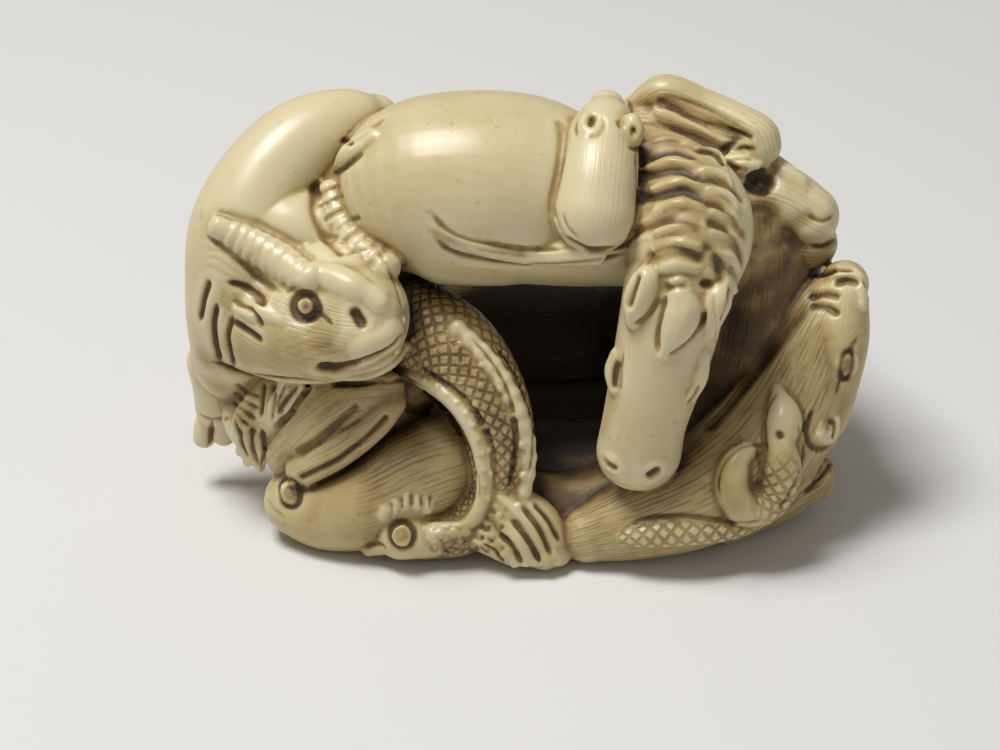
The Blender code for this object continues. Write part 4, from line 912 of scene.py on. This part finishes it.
# Rooster: comb, beak, neck and wing
eyeRings(front, -8.49, 2.41, 0.90, 0.92, 0, ((0.96, 0.27, 0.38), (0.42, 0.13, 0.20)), 0.24)
cut(front, 0.14, 0.26, [(-11.03, 1.60), (-10.49, 1.80), (-9.96, 1.80), (-9.56, 1.47)], 0.9)
for across, rise in ((-9.22, 4.21), (-8.56, 4.61), (-7.89, 4.75), (-7.22, 4.75), (-6.62, 4.68)):
    cut(front, 0.14, 0.26, [(across, rise + 0.45), (across + 0.05, rise - 0.15),
                            (across + 0.05, rise - 0.45)], 0.8)
for k in range(6):
    for j in range(3):
        across, rise = -6.3 + 0.85 * k + 0.4 * (j % 2), 2.9 - 0.72 * j
        cut(front, 0.13, 0.20, [(across - 0.34, rise + 0.22), (across, rise - 0.2),
                                (across + 0.34, rise + 0.22)], 0.55)
wing = (((0.33, 4.61), (2.07, 2.01)), ((-0.40, 4.34), (1.54, 1.07)), ((-1.14, 3.48), (0.74, 0.53)),
        ((-2.07, 2.61), (-0.47, 0.40)), ((-3.14, 1.80), (-1.67, 0.40)))
for a, b in wing:
    cut(front, 0.24, 0.42, [a, ((a[0] + b[0]) / 2 + 0.15, (a[1] + b[1]) / 2 + 0.1), b], 0.95)
for a, b in (((-0.07, 4.28), (1.74, 1.47)), ((-0.87, 3.74), (1.07, 0.74)), ((-1.74, 2.87), (0.07, 0.47))):
    cut(front, 0.08, 0.10, [a, b], 0.3)

# Dragon: the belly band, the notched spine and the plates between them
cut(front, 0.20, 0.38, [(-9.69, 12.57), (-8.36, 12.83), (-6.89, 12.03), (-5.55, 10.70), (-4.48, 9.22), (-3.81, 7.62),
                        (-3.48, 6.15), (-3.41, 4.81)], 0.6)
cut(front, 0.20, 0.36, [(-7.82, 14.04), (-6.22, 12.97), (-4.88, 12.03), (-3.68, 10.83), (-2.74, 9.09), (-2.34, 7.35),
                        (-2.34, 5.61)], 0.6)
cut(front, 0.22, 0.38, [(-3.94, 15.78), (-3.01, 14.71), (-2.07, 13.37), (-1.40, 11.90), (-1.00, 10.16), (-0.87, 8.42),
                        (-1.07, 6.82), (-1.54, 5.21)], 0.6)
cut(front, 0.18, 0.30, [(-2.47, 15.37), (-1.40, 14.04), (-0.60, 12.57), (0.00, 10.83), (0.33, 9.09), (0.27, 7.62),
                        (-0.07, 6.28)], 0.8)
for across, rise in ((-7.02, 12.83), (-6.22, 12.37), (-5.48, 11.83), (-4.81, 11.30), (-4.21, 10.56), (-3.74, 9.76), (-3.41, 8.82),
                     (-3.14, 7.82), (-3.01, 6.75), (-3.01, 5.75)):
    swell(front, 0.24, 0.16, [(across, rise)])
for row in range(3):
    for k in range(9):
        share = (k + 0.5 * (row % 2)) / 9
        angle = math.radians(78 - 104 * share)
        radius = 8.0 + 1.05 * row
        across, rise = -10.5 + radius * math.cos(angle), 6.9 + radius * math.sin(angle)
        swell(front, 0.34, 0.20, [(across, rise)])

# Hidden back, where each point is the carving's own x and z
def shownBehind(x, z, y=11.0):
    away = Vector((x, y, z)) - back["eye"]
    flat = (back["eye"] - Vector(drawing["pivot"])
            - away * (drawing["distance"] / away.dot(back["towards"])))
    return flat.dot(back["right"]), flat.dot(back["up"]) + drawing["pivotRise"]


def cutBehind(halfWidth, deep, points, brown=1.0, y=11.0):
    cut(back, halfWidth, deep, [shownBehind(x, z, y) for x, z in points], brown)


def bandsBehind(points, count, reach, halfWidth, deep, brown, y=10.0):
    line = smoothLine([(x, z, 0, 0) for x, z in points])[:, :2]
    for k in range(count):
        at = int((k + 0.7) / (count + 0.4) * (len(line) - 2))
        way = line[at + 1] - line[at]
        way = np.array((-way[1], way[0])) / max(np.hypot(*way), 1e-9) * reach
        sag = np.array((way[1], -way[0])) * 0.35
        cutBehind(halfWidth, deep, [line[at] - way, line[at] + sag, line[at] + way], brown, y)


# tiger: face, stripes, paws
for side in (-1, 1):
    eyeRings(back, -12.6 + side * 1.6, 21.4, 0.66, 0.56, side * 12, ((1.0, 0.14, 0.22),), 0.18)
    hollow(back, 0.7, 0.35, [shownBehind(12.2 + side * 2.9, 22.1)], 0.5)
    for k in range(3):
        cutBehind(0.16, 0.16, [(12.1 + side * (2.2 + 0.2 * k), 18.9 - 0.8 * k),
                               (12.1 + side * 2.9, 18.8 - 0.85 * k),
                               (12.1 + side * 3.5, 18.3 - 0.85 * k)], 0.7, 12.0)
        cutBehind(0.10, 0.14, [(12.2 + side * (0.7 + 0.3 * k), 17.0 + 0.2 * k)] * 2, 0.8, 13.5)
    cutBehind(0.18, 0.26, [(12.2, 17.0), (12.2 + side * 0.6, 16.5), (12.2 + side * 1.4, 16.6)],
              0.9, 13.5)
    cutBehind(0.16, 0.20, [(12.0 + side * 0.4, 20.9), (12.0 + side * 1.2, 21.3),
                           (12.0 + side * 1.9, 21.0)], 0.7, 12.0)
cutBehind(0.24, 0.30, [(11.7, 18.1), (12.2, 17.6), (12.7, 18.1)], 0.9, 13.5)
cutBehind(0.14, 0.20, [(12.2, 17.7), (12.2, 17.1)], 0.8, 13.5)
for k in range(3):
    cutBehind(0.16, 0.16, [(11.4 - 0.1 * k, 21.7 + 0.5 * k), (12.05, 21.9 + 0.5 * k),
                           (12.7 + 0.1 * k, 21.7 + 0.5 * k)], 0.7, 11.0)
for k in range(9):
    x = -7.2 + 1.62 * k + 0.25 * math.sin(2.3 * k)
    high, low = 24.8 + 0.3 * math.sin(1.7 * k), 17.9 + 0.3 * math.cos(2.1 * k)
    cutBehind(0.30, 0.18, [(x, high), (x + 0.45, high - 1.5), (x + 0.25, high - 2.9)], 0.75, 10.0)
    cutBehind(0.24, 0.16, [(x - 0.75, low), (x - 0.35, low + 1.3), (x - 0.6, low + 2.2)], 0.75, 10.0)
bandsBehind([(-9.6, 21.6), (-7.6, 18.0), (-9.2, 15.2), (-9.7, 12.8)], 7, 1.2, 0.20, 0.15, 0.7)
bandsBehind([(8.6, 20.6), (7.4, 17.6), (7.6, 14.8)], 5, 1.1, 0.20, 0.15, 0.7)
bandsBehind([(-13.6, 21.2), (-15.6, 18.4), (-14.6, 15.4), (-12.8, 14.2), (-12.6, 16.2)], 10, 0.9,
            0.16, 0.15, 0.7, 8.5)
for x, z in ((7.0, 13.2), (-8.8, 11.5)):
    for k in (-1, 0, 1):
        cutBehind(0.12, 0.18, [(x + 0.5 * k, z + 0.1), (x + 0.6 * k, z - 0.9)], 0.8, 12.0)
cutBehind(0.22, 0.24, [(10.2, 22.4), (9.9, 20.0), (9.2, 17.6)], 0.7, 10.5)
cutBehind(0.22, 0.22, [(5.9, 21.6), (5.8, 19.4), (6.3, 17.6)], 0.6, 10.5)
cutBehind(0.22, 0.24, [(-6.6, 21.9), (-5.6, 20.0), (-6.2, 17.6)], 0.6, 10.5)
# monkey: face, hand and foot
for side in (-1, 1):
    eyeRings(back, -13.7 + side * 1.1, 13.9, 0.52, 0.50, 0, ((1.0, 0.13, 0.20),), 0.16)
    hollow(back, 0.6, 0.30, [shownBehind(13.3 + side * 2.9, 11.0)], 0.5)
    cutBehind(0.14, 0.20, [(12.9, 12.9), (12.9 + side * 1.0, 13.5), (12.9 + side * 2.0, 13.0),
                           (13.0 + side * 2.0, 11.4), (13.0 + side * 1.3, 10.2)], 0.6, 12.0)
    cutBehind(0.10, 0.16, [(13.0 + side * 0.3, 10.9)] * 2, 0.9, 13.0)
cutBehind(0.15, 0.24, [(12.0, 9.9), (12.6, 9.4), (13.4, 9.4), (14.0, 9.9)], 0.9, 13.0)
for k in range(4):
    cutBehind(0.10, 0.16, [(11.6 - 0.25 * k, 6.9 - 0.2 * k), (10.6 - 0.2 * k, 7.0 - 0.45 * k)], 0.8, 13.0)
    cutBehind(0.10, 0.16, [(11.2 - 0.1 * k, 2.0 - 0.35 * k), (9.9, 1.9 - 0.35 * k)], 0.8, 12.5)
cutBehind(0.24, 0.30, [(10.4, 9.4), (11.2, 7.6), (13.6, 7.2), (15.2, 7.6)], 0.8, 11.0)
# boar: eye, snout, tusk, trotters
eyeRings(back, -5.4, 8.4, 0.58, 0.52, 0, ((1.0, 0.13, 0.22),), 0.18)
cutBehind(0.16, 0.26, [(8.7, 2.6), (7.4, 3.1), (6.0, 3.9), (5.0, 4.0)], 0.9, 12.5)
for z in (3.9, 3.2):
    cutBehind(0.14, 0.20, [(9.3, z), (9.1, z - 0.1)], 1.0, 12.5)
for k in range(3):
    cutBehind(0.13, 0.14, [(7.6 - 0.7 * k, 5.6 + 0.5 * k), (7.3 - 0.7 * k, 4.8 + 0.5 * k)], 0.6, 12.5)
hollow(back, 0.6, 0.35, [(-3.2, 10.3), (-3.1, 9.3)], 0.6)
cutBehind(0.24, 0.26, [(3.4, 9.8), (1.4, 8.8), (0.6, 6.4), (1.4, 3.8)], 0.7, 12.0)
cutBehind(0.22, 0.24, [(-1.2, 9.4), (-2.6, 7.4), (-1.8, 4.6)], 0.6, 12.5)
cutBehind(0.24, 0.26, [(-13.8, 9.8), (-10.8, 9.0), (-9.2, 6.6), (-10.2, 4.4)], 0.7, 11.0)
for points in ([(-3.0, 3.6), (-2.0, 2.8)], [(9.2, 3.6), (10.2, 2.8)]):
    cut(back, 0.16, 0.24, points, 0.9)

# Old stain, with painted shade: brown patches, and darkening on the shaded places low down and between the animals
for points, halfWidth, amount in (
        ([(7.75, 28.88), (10.43, 27.21), (10.76, 23.86), (11.43, 20.72)], 3.8, 0.36),
        ([(-6.48, 13.77), (-4.48, 12.17), (-3.28, 9.83), (-2.87, 6.82), (-3.07, 4.81)], 0.9, 0.34),
        ([(-4.95, 16.51), (-2.27, 13.50), (-0.94, 10.16), (-0.13, 6.82)], 1.0, 0.16),
        ([(-1.94, 3.48), (0.07, 2.14), (1.40, 1.14)], 1.8, 0.20),
        ([(14.10, 18.18), (13.77, 14.84), (12.43, 11.83)], 2.6, 0.90),
        ([(1.14, 7.35), (2.87, 6.55), (4.61, 6.95)], 2.4, 1.0),
        ([(1.94, 5.21), (3.41, 4.81), (5.15, 5.48)], 1.7, 0.80),
        ([(13.30, 7.35), (12.83, 6.02), (13.64, 4.55)], 1.5, 0.40),
        ([(7.75, 26.20), (8.09, 24.20), (8.42, 22.19)], 1.6, 0.16),
        ([(-10.09, 21.79), (-9.16, 20.19), (-8.49, 18.18), (-8.22, 16.31)], 1.0, 0.20),
        ([(-19.32, 14.84), (-15.98, 14.51), (-13.30, 14.84)], 3.4, 0.34),
        ([(9.02, 31.55), (11.43, 30.75), (14.24, 29.48)], 1.0, 0.24),
        ([(-21.66, 14.17), (-19.32, 13.37), (-15.31, 12.97), (-10.63, 12.83)], 1.4, 0.30),
        ([(-20.52, 12.03), (-19.32, 10.83), (-18.32, 8.82)], 2.0, 0.36),
        ([(14.24, 16.18), (13.10, 13.50), (11.70, 10.83)], 3.0, 0.75),
        ([(18.65, 20.72), (17.11, 19.18), (15.78, 17.18), (14.44, 15.17)], 3.2, 0.85),
        ([(15.44, 23.86), (15.98, 22.19), (15.78, 20.19)], 2.4, 0.60),
        ([(20.12, 18.85), (17.45, 16.18), (14.77, 12.83)], 1.6, 0.30),
        ([(10.76, 6.82), (7.42, 4.81), (4.75, 3.14)], 2.6, 0.22),
        ([(-5.95, 14.84), (-3.94, 12.83), (-2.27, 10.16), (-1.60, 7.49)], 1.6, 0.50),
        ([(-5.28, 2.14), (-2.61, 3.48), (-1.94, 1.47)], 1.8, 0.35),
        ([(-3.94, 5.48), (-3.94, 7.49), (-4.48, 8.82)], 1.2, 0.40),
        ([(-5.95, 4.81), (-4.95, 5.48)], 1.4, 0.40),
        ([(-8.96, 11.50), (-8.29, 11.83)], 1.6, 0.60),
        ([(-13.97, 6.82), (-10.63, 7.49), (-7.29, 8.16)], 3.6, 0.16),
        ([(-15.31, 2.81), (-12.63, 3.81), (-9.96, 4.81)], 2.4, 0.10),
        ([(7.42, 2.14), (10.76, 2.81), (14.10, 3.48)], 2.6, 0.14),
        ([(5.41, 14.84), (5.55, 12.17), (4.95, 9.49)], 0.9, 0.22),
        ([(12.43, 11.50), (11.43, 9.49), (10.63, 7.82)], 1.0, 0.30),
        ([(-18.32, 21.19), (-19.32, 19.85), (-20.32, 18.18)], 1.5, 0.22),
        ([(-17.65, 12.50), (-18.98, 11.50), (-19.65, 10.16)], 1.6, 0.25),
        ([(13.44, 5.48), (16.11, 6.15), (17.45, 7.49)], 1.4, 0.30),
        ([(-5.28, 20.19), (-0.60, 19.52), (4.75, 19.18)], 1.6, 0.16)):
    tint(front, points, halfWidth, amount)


depth = spread(depth, 2)
stain = np.clip(spread(stain, 6) * 1.25, 0, 1)
places += normals * (relief - depth)[:, None]
mesh.vertices.foreach_set("co", places.ravel())
mesh.update()
print("cuts made")

# Hollows and high places, from how far each corner lies below its smoothed surroundings
cavity = np.zeros(len(places))
for steps, weight in ((6, 1.0), (40, 0.7)):
    away = np.stack([spread(places[:, k], steps) for k in range(3)], axis=1) - places
    cavity += weight * (away * normals).sum(1)

# the passage under the horse is painted dark: painted shade inside the gap
passage = {"middle": (2.6, 0.5, 10.3), "radii": (10.2, 8.5, 9.0)}
reach = ((places - passage["middle"]) / passage["radii"]) ** 2
grime = np.maximum(grime, np.clip((1.05 - reach.sum(1)) * 4, 0, 1) * 1.6)
grime = spread(grime, 6)
names = {"pattern": ("FLOAT_VECTOR", "vector", pattern), "hair": ("FLOAT", "value", hair),
         "scale": ("FLOAT", "value", scale), "grime": ("FLOAT", "value", grime),
         "stain": ("FLOAT", "value", stain), "cavity": ("FLOAT", "value", cavity)}
for name, (kind, field, values) in names.items():
    mesh.attributes.new(name, kind, "POINT").data.foreach_set(field, values.ravel())

# Level the underside
solid = bmesh.new()
solid.from_mesh(mesh)
every = solid.verts[:] + solid.edges[:] + solid.faces[:]
level = bmesh.ops.bisect_plane(solid, geom=every, plane_no=(0, 0, -1), clear_outer=True)
rim = [e for e in level["geom_cut"] if isinstance(e, bmesh.types.BMEdge)]
bmesh.ops.triangle_fill(solid, edges=rim, use_beauty=True, normal=(0, 0, -1))
bmesh.ops.recalc_face_normals(solid, faces=solid.faces)
bmesh.ops.triangulate(solid, faces=solid.faces)
solid.to_mesh(mesh)
solid.free()
print("underside levelled,", len(mesh.polygons), "faces")

rough = bpy.data.objects.new("rough", mesh)
bpy.context.scene.collection.objects.link(rough)
thin = rough.modifiers.new("fewer faces", "DECIMATE")
thin.ratio = min(1, skinSizes["faces"] / len(mesh.polygons))
graph = bpy.context.evaluated_depsgraph_get()
carved = bpy.data.meshes.new_from_object(rough.evaluated_get(graph))
bpy.data.objects.remove(rough)
carved.name = "netsukeCarving"
print("carving has", len(carved.polygons), "faces")

# How much open air each corner sees; the colour is darkened by it as painted shade
shade = {"rays": 18, "reach": 7.0}
solid = bmesh.new()
solid.from_mesh(carved)
carvedTree = BVHTree.FromBMesh(solid)
solid.free()
spots = cornersOf(carved)
ways = cornersOf(carved, "normal")
chance = np.random.default_rng(5)
fan = chance.normal(size=(shade["rays"], 3))
fan /= np.linalg.norm(fan, axis=1)[:, None]
occlusionShade = np.zeros(len(spots))
for k, (spot, way) in enumerate(zip(spots, ways)):
    start = Vector(spot + way * 0.04)
    for ray in fan:
        out = ray + way * 1.02
        hit = carvedTree.ray_cast(start, Vector(out).normalized(), shade["reach"])[3]
        if hit is not None:
            occlusionShade[k] += 1 - 0.5 * hit / shade["reach"]
occlusionShade /= shade["rays"]
carved.attributes.new("occlusionShade", "FLOAT", "POINT").data.foreach_set("value", occlusionShade)
print("shade found")

# Fitted to the solid's own box
low, high = spots.min(0), spots.max(0)
factor = (cadHigh[0] - cadLow[0]) / (high[0] - low[0])
shift = np.array([(low[0] + high[0]) / 2, (low[1] + high[1]) / 2, 0])
spots = (spots - shift) * factor
carved.vertices.foreach_set("co", spots.ravel())
carved.update()
carved.shade_smooth()
netsuke = bpy.data.objects.new("netsukeCarving", carved)
bpy.context.scene.collection.objects.link(netsuke)

# Old ivory: polished cream on the high places, brown in the cuts and hollows, and painted shade darkening the enclosed
# and low places
ivoryLook = {
    "polished": (0.69, 0.595, 0.365),
    "mellow": (0.54, 0.420, 0.195),
    "tan": (0.35, 0.235, 0.090),
    "brown": (0.145, 0.082, 0.025),
    "dark": (0.036, 0.020, 0.007),
    "roughness": (0.34, 0.60),
    "hairPitch": 0.34,      # millimetres between hair strokes
    "glow": 0.10,
}


def ivory():
    material = bpy.data.materials.new("oldIvory")
    material.use_nodes = True
    nodes, wires = material.node_tree.nodes, material.node_tree.links
    shader = nodes["Principled BSDF"]

    def node(kind, **settings):
        made = nodes.new(kind)
        for name, value in settings.items():
            setattr(made, name, value)
        return made

    def attribute(name, vector=False):
        return node("ShaderNodeAttribute", attribute_name=name).outputs["Vector" if vector else "Fac"]

    def math_(operation, a, b=None, clamp=False):
        made = node("ShaderNodeMath", operation=operation, use_clamp=clamp)
        for socket, value in zip(made.inputs, (a, b)):
            if isinstance(value, (int, float)):
                socket.default_value = value
            elif value is not None:
                wires.new(value, socket)
        return made.outputs[0]

    def span(value, low, high, newLow=0.0, newHigh=1.0):
        made = node("ShaderNodeMapRange", interpolation_type="SMOOTHSTEP")
        wires.new(value, made.inputs["Value"])
        made.inputs["From Min"].default_value = low
        made.inputs["From Max"].default_value = high
        made.inputs["To Min"].default_value = newLow
        made.inputs["To Max"].default_value = newHigh
        return made.outputs["Result"]

    def stretched(vector, sizes):
        made = node("ShaderNodeVectorMath", operation="MULTIPLY")
        wires.new(vector, made.inputs[0])
        made.inputs[1].default_value = sizes
        return made.outputs[0]

    def noise(vector, size, detail=3.0, rough=0.5):
        made = node("ShaderNodeTexNoise")
        wires.new(vector, made.inputs["Vector"])
        made.inputs["Scale"].default_value = size
        made.inputs["Detail"].default_value = detail
        made.inputs["Roughness"].default_value = rough
        return made.outputs["Fac"]

    place = node("ShaderNodeTexCoord").outputs["Object"]
    pattern = attribute("pattern", True)
    hairy, scaly = attribute("hair"), attribute("scale")

    # hair: fine strokes along the form
    wave = node("ShaderNodeTexWave", wave_type="BANDS", bands_direction="Y")
    wires.new(stretched(pattern, (0.22, 1, 3.7)), wave.inputs["Vector"])
    wave.inputs["Scale"].default_value = math.pi / 10 / ivoryLook["hairPitch"]
    wave.inputs["Distortion"].default_value = 2.0
    wave.inputs["Detail"].default_value = 2.0
    wave.inputs["Detail Scale"].default_value = 0.9
    broken = noise(stretched(pattern, (0.35, 2.2, 5.1)), 1.0, 2.0)
    strokes = math_("MULTIPLY", span(wave.outputs["Fac"], 0.42, 0.10), span(broken, 0.40, 0.58))
    fineStrokes = span(noise(stretched(pattern, (0.5, 7.0, 5.1)), 1.0, 2.0), 0.46, 0.36)
    strokes = math_("MAXIMUM", strokes, math_("MULTIPLY", fineStrokes, 0.45))
    strokes = math_("MULTIPLY", strokes, hairy)

    # scales: diamonds with a groove round each
    cells = node("ShaderNodeTexVoronoi", voronoi_dimensions="2D", distance="CHEBYCHEV")
    wires.new(pattern, cells.inputs["Vector"])
    cells.inputs["Scale"].default_value = 1.0
    cells.inputs["Randomness"].default_value = 0.0
    scaleGroove = math_("MULTIPLY", span(cells.outputs["Distance"], 0.24, 0.46), scaly)

    # darkness for the colour: brown stain in the cuts, hollows and grime, plus painted shade from occlusion, on the low
    # forms and in the gap
    broad = noise(place, 75.0, 2.0, 0.5)
    mottle = noise(place, 330.0, 4.0, 0.62)
    grains = noise(place, 2600.0, 2.0, 0.6)
    specks = span(noise(place, 1150.0, 2.0, 0.5), 0.66, 0.76)
    # painted shade: colour darker where little open air reaches
    occlusionShade = span(attribute("occlusionShade"), 0.34, 0.92)
    hollow = span(attribute("cavity"), 0.003, 0.085)
    worn = span(attribute("cavity"), -0.004, -0.06)
    dirtAndShade = math_("MULTIPLY", span(attribute("stain"), 0.06, 0.95), 0.52)
    dirtAndShade = math_("ADD", dirtAndShade, math_("MULTIPLY", hollow, 0.26))
    dirtAndShade = math_("ADD", dirtAndShade, math_("MULTIPLY", occlusionShade, 0.44))
    dirtAndShade = math_("ADD", dirtAndShade, math_("MULTIPLY", strokes, 0.22))
    dirtAndShade = math_("ADD", dirtAndShade, math_("MULTIPLY", scaleGroove, 0.30))
    dirtAndShade = math_("MINIMUM", dirtAndShade, 0.70)
    # grime together with painted shade on the low and inner forms
    dirtAndShade = math_("ADD", dirtAndShade, math_("MULTIPLY", attribute("grime"), 0.85))
    dirtAndShade = math_("SUBTRACT", dirtAndShade, math_("MULTIPLY", worn, 0.14))
    dirtAndShade = math_("MULTIPLY", dirtAndShade, span(mottle, 0.25, 0.75, 0.72, 1.25))
    dirtAndShade = math_("ADD", dirtAndShade, span(mottle, 0.35, 0.8, 0.0, 0.06))
    dirtAndShade = math_("ADD", dirtAndShade, math_("MULTIPLY", specks, 0.10))
    dirtAndShade = math_("ADD", dirtAndShade, span(broad, 0.35, 0.7, 0.0, 0.12), clamp=True)

    ramp = node("ShaderNodeValToRGB")
    wires.new(dirtAndShade, ramp.inputs["Fac"])
    stops = ramp.color_ramp.elements
    stops[0].color = (*ivoryLook["polished"], 1)
    stops[1].color = (*ivoryLook["dark"], 1)
    for at, name in ((0.18, "mellow"), (0.42, "tan"), (0.68, "brown")):
        stops.new(at).color = (*ivoryLook[name], 1)
    wires.new(ramp.outputs["Color"], shader.inputs["Base Color"])
    wires.new(span(dirtAndShade, 0.05, 0.7, *ivoryLook["roughness"]), shader.inputs["Roughness"])
    shader.inputs["IOR"].default_value = 1.54
    shader.inputs["Subsurface Weight"].default_value = ivoryLook["glow"]
    shader.inputs["Subsurface Radius"].default_value = (1.0, 0.62, 0.36)
    shader.inputs["Subsurface Scale"].default_value = 0.0011

    height = math_("MULTIPLY", strokes, -1.0)
    height = math_("SUBTRACT", height, math_("MULTIPLY", scaleGroove, 1.6))
    height = math_("ADD", height, math_("MULTIPLY", grains, 0.10))
    bump = node("ShaderNodeBump")
    bump.inputs["Distance"].default_value = 0.00009
    bump.inputs["Strength"].default_value = 0.8
    wires.new(height, bump.inputs["Height"])
    wires.new(bump.outputs["Normal"], shader.inputs["Normal"])
    return material


carved.materials.clear()
carved.materials.append(ivory())


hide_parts("netsuke")
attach(netsuke, "root")
print("netsuke placed")


# Table, light and camera
studio = {"floor": (0.74, 0.73, 0.71), "world": 0.22, "key": 1.32, "fill": 0.12}
floorBlock = bmesh.new()
bmesh.ops.create_grid(floorBlock, x_segments=1, y_segments=1, size=1.5)
floorMesh = bpy.data.meshes.new("table")
floorBlock.to_mesh(floorMesh)
floorBlock.free()
floor = bpy.data.objects.new("table", floorMesh)
bpy.context.scene.collection.objects.link(floor)
paint = bpy.data.materials.new("palePaint")
paint.use_nodes = True
paint.node_tree.nodes["Principled BSDF"].inputs["Base Color"].default_value = (*studio["floor"], 1)
paint.node_tree.nodes["Principled BSDF"].inputs["Roughness"].default_value = 0.8
floorMesh.materials.append(paint)

world = bpy.data.worlds.new("studio")
world.use_nodes = True
world.node_tree.nodes["Background"].inputs[0].default_value = (1.0, 0.98, 0.95, 1)
world.node_tree.nodes["Background"].inputs[1].default_value = studio["world"]
bpy.context.scene.world = world


def softbox(name, place, target, size, power):
    light = bpy.data.lights.new(name, "AREA")
    light.size = size
    light.energy = power
    lamp = bpy.data.objects.new(name, light)
    lamp.location = place
    lamp.rotation_euler = (Vector(target) - Vector(place)).to_track_quat("-Z", "Y").to_euler()
    bpy.context.scene.collection.objects.link(lamp)


softbox("key", (-0.12, -0.03, 0.37), (0, 0, 0.015), 0.14, studio["key"])
softbox("fill", (0.30, -0.30, 0.20), (0, 0, 0.015), 0.30, studio["fill"])

lens = bpy.data.cameras.new("camera")
lens.sensor_width = 36
lens.lens = 36 * drawing["distance"] / drawing["frameWidth"]
lens.clip_start = 0.01
camera = bpy.data.objects.new("camera", lens)
bpy.context.scene.collection.objects.link(camera)
eye = (np.array(front["eye"]) - shift) * factor
camera.matrix_world = Matrix((
    (front["right"].x, front["up"].x, front["towards"].x, eye[0]),
    (front["right"].y, front["up"].y, front["towards"].y, eye[1]),
    (front["right"].z, front["up"].z, front["towards"].z, eye[2]),
    (0, 0, 0, 1)))
bpy.context.scene.camera = camera
bpy.context.scene.view_settings.view_transform = "Standard"
